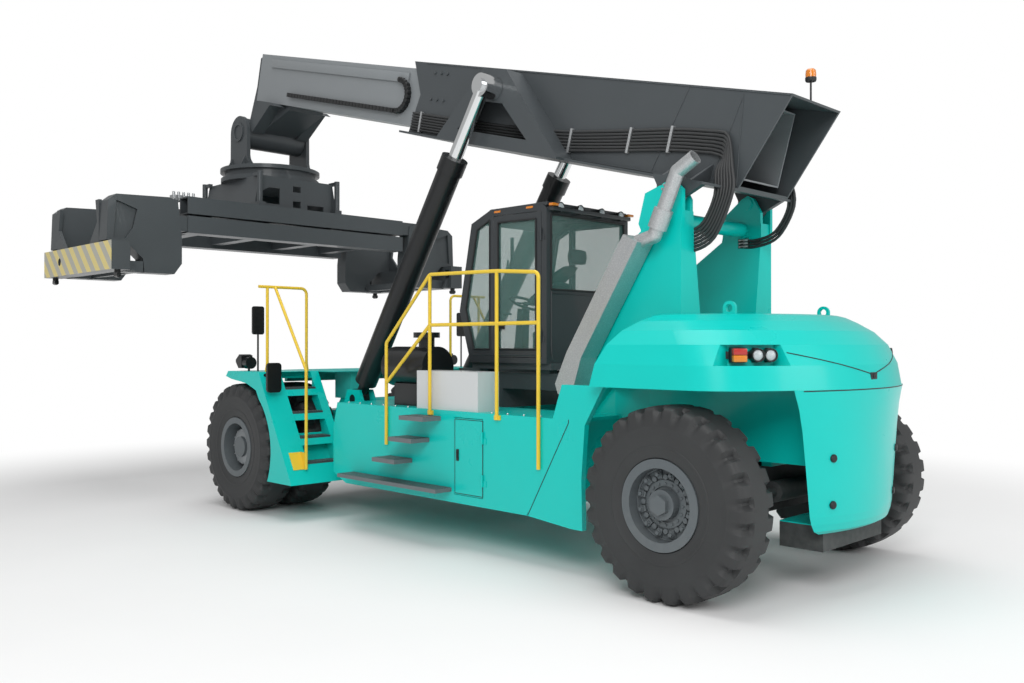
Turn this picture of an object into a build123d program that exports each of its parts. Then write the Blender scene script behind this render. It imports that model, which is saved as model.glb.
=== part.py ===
"""Reach stacker: a container handler with a telescopic boom and a 20/40 ft spreader.

Everything is laid out in millimetres from the rear axle: X forward, Y left, Z up from the floor.
save() moves each piece so that the origin is at the middle of the machine's length, on the floor.
"""
from build123d import *
import math
import os

# ---- driving dimensions -------------------------------------------------
REAR_END = -1070
WHEELBASE = 6500
SPREADER_X = 8980              # slew axis
SEAT = 0.3                      # running clearance at a bearing face
CLEAR = 5                       # clearance between moving pieces

# wheels
TYRE_R = 815
TYRE_W = 490
BEAD_R = 318
FLANGE_R = 381
RIM_HALF = 210
FRONT_OUT_Y = 1733
DUAL_PITCH = 600
REAR_Y = 1480
HUB_Z = TYRE_R
KINGPIN_Y = 1150

# chassis
RAIL_IN = 400
RAIL_OUT = 715
RAIL_REAR_OUT = 560
RAIL_TOP = 1420
CHASSIS_REAR = -850
TOWER_BASE = 1740
BOX_OUT = 1500
BOX_TOP = 1440
BOX_BOTTOM = 490
DECK_TOP = 1790
FENDER_OUT = 1950
FENDER_IN = 1080
HOOD_LOW = 1760
HOOD_TOP = 2400

# boom
BOOM_ANGLE = 15
PIVOT_X, PIVOT_Z = 570, 3580
PIVOT_PIN_R = 60
LUG_R = 165
LUG_IN, LUG_OUT = 680, 740
TOWER_OUT = 800
CHEEK_IN = 600
CHEEK_WALL = 45
BOOM_HALF = 450
BOOM_LOW, BOOM_TOP = 120, 1000     # across the boom, above the pivot line
BOOM_WALL = 20
OUTER_TAIL, OUTER_TIP = -860, 4450
INNER_HALF = 360
INNER_LOW, INNER_TOP = 205, 925
INNER_WALL = 16
INNER_TAIL, INNER_TIP = -450, 8560
SLIDE_GAP = 0.5
PIN_GAP = 0.5

# lift cylinders
LIFT_Y = 880
LIFT_FOOT_X, LIFT_FOOT_Z = 5300, 1440
LIFT_EYE_X, LIFT_EYE_Z = 2970, 4990
LIFT_BARREL_R = 140
LIFT_ROD_R = 80
LIFT_BARREL_L = 3370
LIFT_COLLAR = 16

# head and spreader
TILT_X, TILT_Z = SPREADER_X, 5490
TILT_R = 235
TILT_HALF = 500
YOKE_WALL = 60
RING_TOP = 4870
RING_R = 780
TWIST_X = 2259
TWIST_Y = 5853
TWIST_TIP = 3020
MAIN_HALF = 1900
BEAM_X = 900
ARM_STROKE = 3066

# cab
CAB_HALF = 690
CAB_WALL = 45
GLASS = 10
CAB_REAR = 2200
DOOR_REAR, DOOR_FRONT = 2275, 3020
DOOR_GAP = 6


# ---- small tools --------------------------------------------------------
FRONT_END = SPREADER_X + TWIST_X / 2 + 150
X_MID = (REAR_END + FRONT_END) / 2


def block(x0, x1, y0, y1, z0, z1):
    """A box from its limits."""
    return Pos((x0 + x1) / 2, (y0 + y1) / 2, (z0 + z1) / 2) * Box(x1 - x0, y1 - y0, z1 - z0)


def side_prism(points, y0, y1):
    """An X-Z outline carried along Y."""
    face = make_face(Polyline(*[(x, y0, z) for x, z in points], close=True))
    return extrude(face, amount=y1 - y0, dir=(0, 1, 0))


def end_prism(points, x0, x1):
    """A Y-Z outline carried along X."""
    face = make_face(Polyline(*[(x0, y, z) for y, z in points], close=True))
    return extrude(face, amount=x1 - x0, dir=(1, 0, 0))


def plan_prism(points, z0, z1):
    """An X-Y outline carried along Z."""
    face = make_face(Polyline(*[(x, y, z0) for x, y in points], close=True))
    return extrude(face, amount=z1 - z0, dir=(0, 0, 1))


def rod(start, end, radius):
    """A round bar between two points."""
    axis = Vector(*end) - Vector(*start)
    return extrude(Plane(origin=start, z_dir=axis) * Circle(radius), amount=axis.length)


def tube(start, end, radius, bore):
    """A round tube between two points."""
    axis = Vector(*end) - Vector(*start)
    ring = Circle(radius) - Circle(bore)
    return extrude(Plane(origin=start, z_dir=axis) * ring, amount=axis.length)


def bent_bar(points, radius, bend):
    """A round bar along straight runs with round bends."""
    path = FilletPolyline(*points, radius=bend)
    return sweep(Plane(origin=path @ 0, z_dir=path % 0) * Circle(radius), path=path)


def turned(outline, x, y, z):
    """A ring about the Y axis at x, z, from (radius, y offset) points."""
    face = make_face(Polyline(*[(r, w, 0) for r, w in outline], close=True))
    return Pos(x, y, z) * revolve(face, Axis.Y)


def both(shape):
    """A shape and its mirror image across the centreline."""
    return [shape, mirror(shape, Plane.XZ)]


def on_boom(shape):
    """Put a shape drawn along the level boom at the boom's rest angle."""
    return Pos(PIVOT_X, 0, PIVOT_Z) * Rot(0, -BOOM_ANGLE, 0) * shape


def boom_point(along, above):
    """Where a place on the boom is at rest."""
    a = math.radians(BOOM_ANGLE)
    return (PIVOT_X + along * math.cos(a) - above * math.sin(a),
            PIVOT_Z + along * math.sin(a) + above * math.cos(a))


def boom_local(x, z):
    """A rest place in the boom's own measures."""
    a = math.radians(BOOM_ANGLE)
    dx, dz = x - PIVOT_X, z - PIVOT_Z
    return dx * math.cos(a) + dz * math.sin(a), -dx * math.sin(a) + dz * math.cos(a)


saved = {}


def save(name, *shapes):
    """Write one node, as separate solids where its pieces don't touch."""
    solids = []
    for shape in shapes:
        parts = shape if isinstance(shape, (list, tuple)) else [shape]
        for part in parts:
            solids += part.solids()
    moved = [Pos(-X_MID, 0, 0) * solid for solid in solids]
    whole = moved[0] if len(moved) == 1 else Compound(children=moved)
    export_step(whole, f"parts/{name}.step")
    saved[name] = whole


# ---- wheels -------------------------------------------------------------
def tyre(x, y):
    """One tyre: bead, bulged sidewall, square shoulder and slightly crowned tread."""
    half = TYRE_W / 2
    outline = [(BEAD_R + 12, -RIM_HALF + 15), (FLANGE_R, -RIM_HALF + 5), (FLANGE_R + 60, -half + 12),
               (590, -half), (700, -half + 8), (TYRE_R - 35, -half + 25), (TYRE_R - 6, -half + 60),
               (TYRE_R, -half + 130)]
    outline += [(r, -w) for r, w in reversed(outline)]
    return turned(outline, x, y, HUB_Z)


def rim(x, y, disc_y, out):
    """A five-piece style rim: well, two flanges and a pressed disc."""
    well = [(BEAD_R - 14, -RIM_HALF - 15), (FLANGE_R, -RIM_HALF - 15), (FLANGE_R, -RIM_HALF + 5),
            (BEAD_R + 12, -RIM_HALF + 15), (BEAD_R + 12, RIM_HALF - 15), (FLANGE_R, RIM_HALF - 5),
            (FLANGE_R, RIM_HALF + 15), (BEAD_R - 14, RIM_HALF + 15)]
    shape = turned(well, x, y, HUB_Z)
    disc = [(0, disc_y - 14), (BEAD_R - 10, disc_y - 14), (BEAD_R - 10, disc_y + 14), (0, disc_y + 14)]
    return shape + turned(disc, x, y, HUB_Z)


def bolt_circle(x, y0, y1, pitch_r, count, radius):
    """Bars along Y on a circle round the hub."""
    bars = []
    for i in range(count):
        a = 2 * math.pi * i / count
        px, pz = x + pitch_r * math.cos(a), HUB_Z + pitch_r * math.sin(a)
        bars.append(rod((px, y0, pz), (px, y1, pz), radius))
    return bars


def rear_wheel():
    """Left steered wheel: tyre, rim with a stepped hub and its bolt ring."""
    wheel_rim = rim(0, REAR_Y, 90, 1)
    hub = rod((0, REAR_Y + 60, HUB_Z), (0, REAR_Y + 190, HUB_Z), 125)
    cap = extrude(Plane(origin=(0, REAR_Y + 190, HUB_Z), z_dir=(0, 1, 0)) * RegularPolygon(85, 6),
                  amount=45)
    wheel_rim += hub + cap
    for bolt in bolt_circle(0, REAR_Y + 100, REAR_Y + 130, 225, 12, 22):
        wheel_rim += bolt
    return tyre(0, REAR_Y), wheel_rim


def front_wheels():
    """Left drive pair: two tyres on two rims, one clamped hub with a planetary drum."""
    inner_y = FRONT_OUT_Y - DUAL_PITCH
    tyres = [tyre(WHEELBASE, FRONT_OUT_Y), tyre(WHEELBASE, inner_y)]
    rims = rim(WHEELBASE, FRONT_OUT_Y, -60, 1) + rim(WHEELBASE, inner_y, 170, 1)
    spacer = [(BEAD_R - 18, RIM_HALF + 15), (BEAD_R + 6, RIM_HALF + 15),
              (BEAD_R + 6, DUAL_PITCH - RIM_HALF - 15), (BEAD_R - 18, DUAL_PITCH - RIM_HALF - 15)]
    rims += turned(spacer, WHEELBASE, inner_y, HUB_Z)
    drum_end = FRONT_OUT_Y + 120
    rims += rod((WHEELBASE, inner_y + 150, HUB_Z), (WHEELBASE, drum_end, HUB_Z), 190)
    rims += rod((WHEELBASE, drum_end, HUB_Z), (WHEELBASE, drum_end + 45, HUB_Z), 130)
    for bolt in bolt_circle(WHEELBASE, FRONT_OUT_Y - 50, FRONT_OUT_Y - 15, 250, 16, 18):
        rims += bolt
    return tyres, rims


# ---- axles and chassis --------------------------------------------------
def chassis_profile():
    """Side outline of the two main beams."""
    return [(CHASSIS_REAR, 1100), (CHASSIS_REAR, TOWER_BASE), (1250, TOWER_BASE), (1550, RAIL_TOP), (5950, RAIL_TOP),
            (6080, 1250), (6080, 700), (5950, 600), (4900, 540), (1500, 540), (1150, 720), (950, 1100)]


def rails():
    """Two closed main beams, drawn in between the steered wheels."""
    plan = [(CHASSIS_REAR, RAIL_IN), (CHASSIS_REAR, RAIL_REAR_OUT), (950, RAIL_REAR_OUT), (1250, RAIL_OUT),
            (6080, RAIL_OUT), (6080, RAIL_IN)]
    beam = plan_prism(plan, 500, 1800) & side_prism(chassis_profile(), 0, 900)
    hollow = plan_prism([(1500, RAIL_IN + 25), (1500, RAIL_OUT - 25), (5900, RAIL_OUT - 25),
                         (5900, RAIL_IN + 25)], 600, RAIL_TOP - 25)
    return beam - hollow


AXLE_R = 210


def chassis():
    """Main beams, cross members, axle seats and the lift cylinder clevises."""
    frame = [*both(rails())]
    cross = [block(x, x + 220, -RAIL_IN, RAIL_IN, 760, RAIL_TOP - 60) for x in (1700, 3600, 5000)]
    cross.append(block(CHASSIS_REAR, CHASSIS_REAR + 200, -RAIL_IN, RAIL_IN, 1150, TOWER_BASE - 40))
    cross.append(block(1000, 1180, -RAIL_IN, RAIL_IN, 1150, TOWER_BASE - 40))
    whole = frame[0] + frame[1]
    for piece in cross:
        whole += piece
    for side in (-1, 1):
        for y in (LIFT_Y - 110, LIFT_Y + 75):
            lug = side_prism([(LIFT_FOOT_X - 330, 1180), (LIFT_FOOT_X - 150, 1560), (LIFT_FOOT_X + 110, 1560),
                              (LIFT_FOOT_X + 260, 1180)], y, y + 35)
            if side < 0:
                lug = mirror(lug, Plane.XZ)
            whole += lug
        floor = block(LIFT_FOOT_X - 330, LIFT_FOOT_X + 260, RAIL_OUT, LIFT_Y + 110, 1150, 1200)
        if side < 0:
            floor = mirror(floor, Plane.XZ)
        whole += floor
    pin_hole = rod((LIFT_FOOT_X, -1200, LIFT_FOOT_Z), (LIFT_FOOT_X, 1200, LIFT_FOOT_Z), 60)
    whole -= pin_hole
    for x in (-280, 180):
        whole += block(x, x + 100, -RAIL_IN, RAIL_IN, 1040, 1180)
    axle_room = rod((WHEELBASE, -1000, HUB_Z), (WHEELBASE, 1000, HUB_Z), AXLE_R + 90)
    whole -= axle_room
    for y in (-RAIL_OUT, RAIL_IN):
        seat = side_prism([(6080, 700), (6080, 1250), (6420, 1250), (6580, 1050), (6580, 1000),
                           (6200, 640)], y, y + RAIL_OUT - RAIL_IN)
        whole += seat
    whole -= rod((WHEELBASE, -1000, HUB_Z), (WHEELBASE, 1000, HUB_Z), AXLE_R)
    return whole


def front_axle():
    """Drive axle: tube, differential bowl and the spindle ends inside the hubs."""
    inner_y = FRONT_OUT_Y - DUAL_PITCH
    axle = rod((WHEELBASE, -860, HUB_Z), (WHEELBASE, 860, HUB_Z), AXLE_R)
    axle += rod((WHEELBASE, -inner_y - 150 + SEAT, HUB_Z), (WHEELBASE, inner_y + 150 - SEAT, HUB_Z), 150)
    bowl = Pos(WHEELBASE, 0, HUB_Z) * Sphere(330)
    flange = rod((WHEELBASE - 520, 0, HUB_Z), (WHEELBASE, 0, HUB_Z), 150)
    return axle + (bowl & block(5900, 7100, -340, 340, 500, 1200)) + flange


STEER_BEAM_TOP = 1040


def steer_axle():
    """Steering axle: cast beam with forked ends, and its double-rod cylinder along the back."""
    beam = end_prism([(-780, 700), (-700, 620), (700, 620), (780, 700), (900, 700), (900, 930),
                      (700, 930), (560, STEER_BEAM_TOP), (-560, STEER_BEAM_TOP), (-700, 930),
                      (-900, 930), (-900, 700)], -200, 200)
    for side in (-1, 1):
        for z0, z1 in ((585, 650), (980, 1045)):
            arm = plan_prism([(-200, 850 * side), (200, 850 * side), (110, (KINGPIN_Y + 90) * side),
                              (-110, (KINGPIN_Y + 90) * side)], z0, z1)
            beam += arm
        beam += block(-200, 200, min(780 * side, 900 * side), max(780 * side, 900 * side), 585, 1045)
        beam -= rod((0, KINGPIN_Y * side, 500), (0, KINGPIN_Y * side, 1100), 45 + PIN_GAP)
    cylinder = rod((-300, -420, 820), (-300, 420, 820), 95)
    cylinder += rod((-300, -640, 820), (-300, 640, 820), 45)
    cylinder += block(-300, -200, -200, 200, 760, 880)
    return beam + cylinder


def knuckle():
    """Left steering knuckle: kingpin post, spindle and steering arm."""
    post = rod((0, KINGPIN_Y, 655), (0, KINGPIN_Y, 975), 100)
    post += rod((0, KINGPIN_Y, 580), (0, KINGPIN_Y, 1050), 45)
    spindle = rod((0, KINGPIN_Y, HUB_Z), (0, REAR_Y + 60 - SEAT, HUB_Z), 110)
    arm = plan_prism([(-40, KINGPIN_Y + 50), (-40, KINGPIN_Y - 50), (-240, KINGPIN_Y + 5),
                      (-300, KINGPIN_Y + 30), (-300, KINGPIN_Y + 75), (-240, KINGPIN_Y + 80)], 700, 745)
    return post + spindle + arm


def towers():
    """Two boom towers, each ending in a pair of cheeks for the boom lug, with a cross tube and pins."""
    side = [(410, BOX_TOP), (410, 3370), (850, 3370), (871, 3207), (1195, 2972), (1300, 2600), (1430, 2200),
            (1600, BOX_TOP)]
    front = [(CHEEK_IN, 3400), (TOWER_OUT, 3400), (TOWER_OUT, BOX_TOP), (440, BOX_TOP), (490, 2400),
             (CHEEK_IN, 3250)]
    tower = side_prism(side, 300, 900) & end_prism(front, 300, 1700)
    crown = CHEEK_WALL * 2 - 3
    inner = side_prism([(417, 3300), (417, PIVOT_Z - 100), (500, 3632), (PIVOT_X, PIVOT_Z + crown), (640, 3632),
                        (835, 3477), (860, 3300)], CHEEK_IN, CHEEK_IN + CHEEK_WALL)
    outer = side_prism([(395, 3300), (395, 3560), (469, 3630), (653, 3617), (820, 3564), (899, 3281), (860, 3200),
                        (410, 3200)], TOWER_OUT - CHEEK_WALL, TOWER_OUT)
    tower += inner + outer
    tower -= side_prism(chassis_profile(), RAIL_IN - 100, RAIL_OUT + 300)
    tower += rod((PIVOT_X, CHEEK_IN - 15, PIVOT_Z), (PIVOT_X, TOWER_OUT + 12, PIVOT_Z), PIVOT_PIN_R)
    pair = tower + mirror(tower, Plane.XZ)
    return pair + rod((640, -CHEEK_IN, 3315), (640, CHEEK_IN, 3315), 75)


def rear_plan(low, half, rear, front=None):
    """Plan outline of the rounded rear end at height low: straight flanks, round corners, bowed back."""
    front = HOOD_FRONT if front is None else front
    depth, drop = 470, half * 0.12
    corner_x = rear + depth
    bow = half - drop
    radius = (bow ** 2 + depth ** 2) / (2 * depth)
    turn = math.pi / 2 - math.asin(bow / radius)
    corner_r = drop / (1 - math.cos(turn))
    start_x = corner_x + corner_r * math.sin(turn)
    mid = (start_x - corner_r * math.sin(turn / 2), half - corner_r * (1 - math.cos(turn / 2)))
    return make_face([
        Line((front, half, low), (start_x, half, low)),
        ThreePointArc((start_x, half, low), (*mid, low), (corner_x, bow, low)),
        ThreePointArc((corner_x, bow, low), (rear, 0, low), (corner_x, -bow, low)),
        ThreePointArc((corner_x, -bow, low), (mid[0], -mid[1], low), (start_x, -half, low)),
        Line((start_x, -half, low), (front, -half, low)),
        Line((front, -half, low), (front, half, low))])


HOOD_FRONT = 800
HOOD_HALF = 1640
HOOD_WALL = 25
EYE_X, EYE_Y, EYE_Z = -139, 855, 2450
EYE_R, EYE_BORE_R = 62, 34
POCKET_FRONT = -425
LID_SEAM = HOOD_LOW + 340


def hood():
    """Engine cover: a wide domed shell over the steered wheels, raked in front, with tail lamp pockets."""
    levels = [(HOOD_LOW, HOOD_HALF, REAR_END, HOOD_FRONT), (HOOD_LOW + 200, HOOD_HALF - 15, REAR_END + 35, HOOD_FRONT - 50),
              (HOOD_TOP - 270, HOOD_HALF - 60, REAR_END + 115, HOOD_FRONT - 150),
              (HOOD_TOP - 150, HOOD_HALF - 145, REAR_END + 230, HOOD_FRONT - 250),
              (HOOD_TOP - 65, HOOD_HALF - 275, REAR_END + 360, HOOD_FRONT - 345),
              (HOOD_TOP - 15, HOOD_HALF - 410, REAR_END + 450, HOOD_FRONT - 400),
              (HOOD_TOP, HOOD_HALF - 510, REAR_END + 500, HOOD_FRONT - 420)]
    outer = loft([rear_plan(*level) for level in levels], ruled=True)
    inset = [(z - (HOOD_WALL if i else 0), half - HOOD_WALL * 2, rear + HOOD_WALL, front - HOOD_WALL)
             for i, (z, half, rear, front) in enumerate(levels)]
    inner = loft([rear_plan(*level) for level in inset], ruled=True)
    low, high, deep = HOOD_LOW + 200, HOOD_LOW + 370, 120
    core = rear_plan(HOOD_LOW, HOOD_HALF - 15 - deep, REAR_END + 35 + deep)
    back = rear_plan(HOOD_LOW, HOOD_HALF - 15 - deep - HOOD_WALL, REAR_END + 35 + deep + HOOD_WALL)
    core, back = (extrude(face, amount=HOOD_TOP - HOOD_LOW, dir=(0, 0, 1)) for face in (core, back))
    for side in (-1, 1):
        y0, y1 = sorted((side * 1020, side * 1800))
        pocket = block(-1300, POCKET_FRONT, y0, y1, low, high)
        room = block(-1300, POCKET_FRONT + HOOD_WALL, y0 - HOOD_WALL, y1 + HOOD_WALL, low - HOOD_WALL, high + HOOD_WALL)
        outer -= pocket - core
        inner -= room - back
    shell = outer - inner
    for side in (-1, 1):
        y0, y1 = sorted((side * 380, side * 830))
        shell -= block(390, 900, y0, y1, HOOD_LOW - 10, HOOD_TOP + 10)
        y0, y1 = side * EYE_Y - 15, side * EYE_Y + 15
        eye = block(EYE_X - EYE_R, EYE_X + EYE_R, y0, y1, HOOD_TOP - 10, EYE_Z)
        eye += rod((EYE_X, y0, EYE_Z), (EYE_X, y1, EYE_Z), EYE_R)
        shell += (eye - inner) - rod((EYE_X, y0 - 5, EYE_Z), (EYE_X, y1 + 5, EYE_Z), EYE_BORE_R)
    lower = block(-2000, 2000, -2000, 2000, HOOD_LOW - 10, LID_SEAM)
    return shell - lower, shell & lower


def engine():
    """Closed diesel and gearbox mass between the beams."""
    return block(-560, 540, -RAIL_IN, RAIL_IN, 1200, 2200)


def counterweight():
    """Cast rear weight hung behind the steered wheels: bowed back, drawn in and rounded below, with a keel."""
    levels = [(550, 640, REAR_END + 115), (580, 715, REAR_END + 62), (640, 760, REAR_END + 40),
              (705, 786, REAR_END + 30), (1130, 855, REAR_END + 12), (1410, 905, REAR_END + 6),
              (1600, 960, REAR_END + 2), (HOOD_LOW, 1040, REAR_END)]
    plans = []
    for z, half, rear in levels:
        bow = ThreePointArc((CHASSIS_REAR, half, z), (rear, 0, z), (CHASSIS_REAR, -half, z))
        plans.append(make_face([bow, Line((CHASSIS_REAR, -half, z), (CHASSIS_REAR, half, z))]))
    body = loft(plans, ruled=True)
    keel = block(CHASSIS_REAR, -450, -560, 560, 390, 610)
    return body + chamfer(keel.edges().group_by(Axis.Z)[0], 30)


def side_tank():
    """Plain flank tank with its raked ends."""
    return side_prism([(1710, 489), (1180, 1407), (1180, BOX_TOP), (4880, BOX_TOP), (4960, 1150),
                       (4960, 600), (4700, BOX_BOTTOM)], RAIL_OUT, BOX_OUT)


def side_boxes():
    """Tank boxes along the flanks, ending in the wheel arch panel; the left one has a locker."""
    arch = side_prism([(1000, 438), (1130, 438), (1700, 489), (1250, HOOD_LOW), (HOOD_FRONT - 50, HOOD_LOW),
                       (970, 1400), (1010, 900)], BOX_OUT - 60, BOX_OUT) - side_tank()
    tank = side_tank()
    tank -= block(LOCKER_X0, LOCKER_X1, BOX_OUT - LOCKER_DEEP, BOX_OUT + 10, LOCKER_Z0, LOCKER_Z1)
    for z in (LOCKER_Z0 + 120, LOCKER_Z1 - 250):
        fixed, _ = hinge_halves(LOCKER_X0, BOX_OUT + 3, z, 50)
        tank += fixed + block(LOCKER_X0 - 50, LOCKER_X0 - 8, BOX_OUT, BOX_OUT + 3, z, z + HINGE_HIGH)
    return tank, arch


LOCKER_X0, LOCKER_X1 = 2320, 2760
LOCKER_Z0, LOCKER_Z1 = 576, 1378
LOCKER_DEEP = 320
LOCKER_GAP = 6


HINGE_R = 13
HINGE_HIGH = 60


def hinge_halves(x, y_face, z, ahead):
    """One butt hinge on a wall face: the fixed half and the moving half, one above the other."""
    halves = []
    for step, way in ((0, -1), (HINGE_HIGH + SEAT, 1)):
        low = z + step
        barrel = rod((x, y_face + HINGE_R, low), (x, y_face + HINGE_R, low + HINGE_HIGH), HINGE_R)
        x0, x1 = sorted((x, x + way * ahead))
        halves.append(barrel + block(x0, x1, y_face, y_face + 5, low, low + HINGE_HIGH))
    return halves


def locker_door():
    """Flush door of the left flank locker, with its hinge barrel and lock boss."""
    door = block(LOCKER_X0 + LOCKER_GAP, LOCKER_X1 - LOCKER_GAP, BOX_OUT - 22, BOX_OUT + 3,
                 LOCKER_Z0 + LOCKER_GAP, LOCKER_Z1 - LOCKER_GAP)
    hinges = [hinge_halves(LOCKER_X0, BOX_OUT + 3, z, 50) for z in (LOCKER_Z0 + 120, LOCKER_Z1 - 250)]
    for _, moving in hinges:
        door += moving
    return door


FENDER_LOW = 450
PANEL_LOW_X, PANEL_TOP_X = 5175, 5940


def panel_x(z):
    """Where the leaning rear panel of the fender stands at height z."""
    return PANEL_LOW_X + (PANEL_TOP_X - PANEL_LOW_X) * (z - FENDER_LOW) / (DECK_TOP - FENDER_LOW)


def fender_outline():
    """Side outline of the front fender, its arch left to be cut round the tyre."""
    return [(PANEL_LOW_X, FENDER_LOW), (5757, FENDER_LOW), (5757, 930), (5809, 1272), (6000, 1560),
            (6229, 1640), (6629, 1690), (6767, 1722), (6705, DECK_TOP), (PANEL_TOP_X, DECK_TOP)]


def fender():
    """Left front fender: flat top, leaning rear panel with four steps cut in, and its outer side skirt."""
    tyre_room = rod((WHEELBASE, 0, HUB_Z), (WHEELBASE, 2100, HUB_Z), TYRE_R + FENDER_GAP)
    leg = side_prism(fender_outline(), FENDER_IN, FENDER_OUT - SKIRT) - tyre_room
    leg -= block(5900, 7000, 0, 2100, 0, DECK_TOP - 90)
    for i in range(4):
        z0, deep = 690 + i * STEP_PITCH, 170
        z1 = z0 + STEP_HIGH
        leg -= side_prism([(panel_x(z0) - 60, z0), (panel_x(z0) + deep, z0), (panel_x(z1) + deep, z1),
                           (panel_x(z1) - 60, z1)], STEP_IN, STEP_OUT)
    return leg, side_prism(fender_outline(), FENDER_OUT - SKIRT, FENDER_OUT) - tyre_room


SKIRT = 40
FENDER_GAP = 40
STEP_PITCH, STEP_HIGH = 298, 200
STEP_IN, STEP_OUT = 1200, 1640


def front_deck():
    """Chequer plate over the drive axle with its front cross bar."""
    deck = block(5600, 6760, -FENDER_IN, FENDER_IN, DECK_TOP - 12, DECK_TOP)
    legs = [block(5700, 6060, s * 580 - 150, s * 580 + 150, RAIL_TOP, DECK_TOP - 12) for s in (-1, 1)]
    bar = block(6700, 6760, -FENDER_IN, FENDER_IN, DECK_TOP - 160, DECK_TOP - 12)
    middle = block(3650, 5600, -RAIL_OUT, RAIL_OUT, RAIL_TOP, RAIL_TOP + 10)
    return [deck + legs[0] + legs[1] + bar, middle]


def walkways():
    """Side gratings and three staggered cantilever steps on the left flank."""
    pieces = []
    for side in (-1, 1):
        grate = block(2800, 4560, BOX_OUT, BOX_OUT + 220, 600, 640)
        pieces.append(grate if side > 0 else mirror(grate, Plane.XZ))
    for x, z in ((2970, 1330), (3160, 1090), (3450, 845)):
        pieces.append(block(x, x + 400, BOX_OUT, BOX_OUT + 250, z, z + 45))
    return pieces


RAIL_TUBE = 19


def handrails():
    """Yellow guard rails: one along each flank deck and a hoop with a sloping rail at the front steps."""
    y = BOX_OUT + RAIL_TUBE
    pieces = []
    deck = bent_bar([(3890, y, 1010), (3890, y, 2150), (3130, y, 2880), (2100, y, 2860), (1530, y, 2820),
                     (1530, y, 950)], RAIL_TUBE, 60)
    for x, top in ((3130, 2870), (2100, 2850)):
        deck += rod((x, y, 1385), (x, y, top), RAIL_TUBE)
        deck += block(x - 40, x + 40, BOX_OUT, y, 1385, 1430)
    deck += rod((3890, y, 1700), (3130, y, 2340), RAIL_TUBE)
    deck += rod((3130, y, 2340), (1530, y, 2340), RAIL_TUBE)
    pieces += both(deck)
    x, top, rail_y = PANEL_TOP_X + 25, 2860, 1700
    posts = (1240, 1810)
    hoop = bent_bar([(x, posts[0], DECK_TOP), (x, posts[0], top), (x, 1930, top)], RAIL_TUBE, 80)
    hoop += rod((x, posts[1], DECK_TOP), (x, posts[1], top), RAIL_TUBE)
    for y in posts:
        hoop += end_prism([(y - 35, DECK_TOP), (y + 35, DECK_TOP), (y + 10, DECK_TOP + 170), (y - 10, DECK_TOP + 170)],
                          x - 4, x + 4)
    low, high = 620, 820
    stand = panel_x(low) - RAIL_TUBE - 8
    hoop += bent_bar([(x, rail_y, top), (stand, rail_y, 1820), (stand, rail_y, low)], RAIL_TUBE, 60)
    hoop += side_prism([(panel_x(low) - 8, low), (panel_x(low), low), (panel_x(high), high), (panel_x(high) - 8, high)],
                       rail_y - RAIL_TUBE, rail_y + 160)
    hoop += side_prism([(stand, low), (panel_x(low), low), (panel_x(high), high), (stand, high)],
                       rail_y - 4, rail_y + 4)
    pieces += both(hoop)
    return pieces


# ---- fittings on the deck ----------------------------------------------
def exhaust():
    """Sheet duct beside the left tower, a heat shield and the round stack with its mitred mouth."""
    y0, y1 = TOWER_OUT + 20, TOWER_OUT + 260
    duct = side_prism([(1700, 1640), (1740, 1740), (1590, 2050), (878, 3160), (711, 3074), (1400, 2000),
                       (1520, 1640)], y0, y1)
    mid, r = (y0 + y1) / 2, 68
    corners = [(790, mid, 3090), (607, mid, 3130), (351, mid, 3692), (160, mid, 3798)]
    stack = duct
    for start, end in zip(corners, corners[1:]):
        stack += rod(start, end, r)
    for corner in corners[1:3]:
        stack += Pos(*corner) * Sphere(r)
    way = (Vector(*corners[3]) - Vector(*corners[2])).normalized()
    mouth = Vector(*corners[3]) - way * 110
    stack -= rod((mouth.X, mouth.Y, mouth.Z), corners[3], r - 6)
    low, high = Vector(*corners[1]), Vector(*corners[2])
    band = [low + (high - low) * t for t in (0.12, 0.42)]
    stack += tube((band[0].X, mid, band[0].Z), (band[1].X, mid, band[1].Z), r + 22, r - 4)
    return stack + block(700, 900, TOWER_OUT, y0, 3100, 3160)


def air_cleaner():
    """Round intake filter lying along the deck, with its saddle and rain cap."""
    x0, x1, y, z, r = 3440, 4190, 1140, 1880, 230
    body = rod((x0, y, z), (x1, y, z), r)
    body += rod((x0 + 200, y, z + 150), (x0 + 200, y, z + 330), 90)
    body += rod((x0 + 200, y, z + 330), (x0 + 200, y, z + 390), 150)
    saddle = block(x0 + 150, x1 - 150, y - 150, y + 150, BOX_TOP, z - r + 40)
    return body + saddle


def tool_box():
    """Plain metal box on the left flank."""
    return block(2440, 3420, 1160, 1460, BOX_TOP, 1850)


def work_lamps():
    """Round work lamps with square hoods on the fenders, on short stalks."""
    pieces = []
    x, z = 6470, 1895
    for side in (-1, 1):
        y = side * 1750
        stalk = rod((x + 60, y, DECK_TOP), (x + 60, y, z), 15)
        lamp = rod((x, y, z), (x + 110, y, z), 78)
        hood = side_prism([(x + 110, z - 70), (x + 110, z + 95), (x + 170, z + 110), (x + 260, z + 40),
                           (x + 260, z + 10), (x + 190, z - 70)], y - 80, y + 80)
        pieces.append(stalk + lamp + hood)
    return pieces


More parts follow.
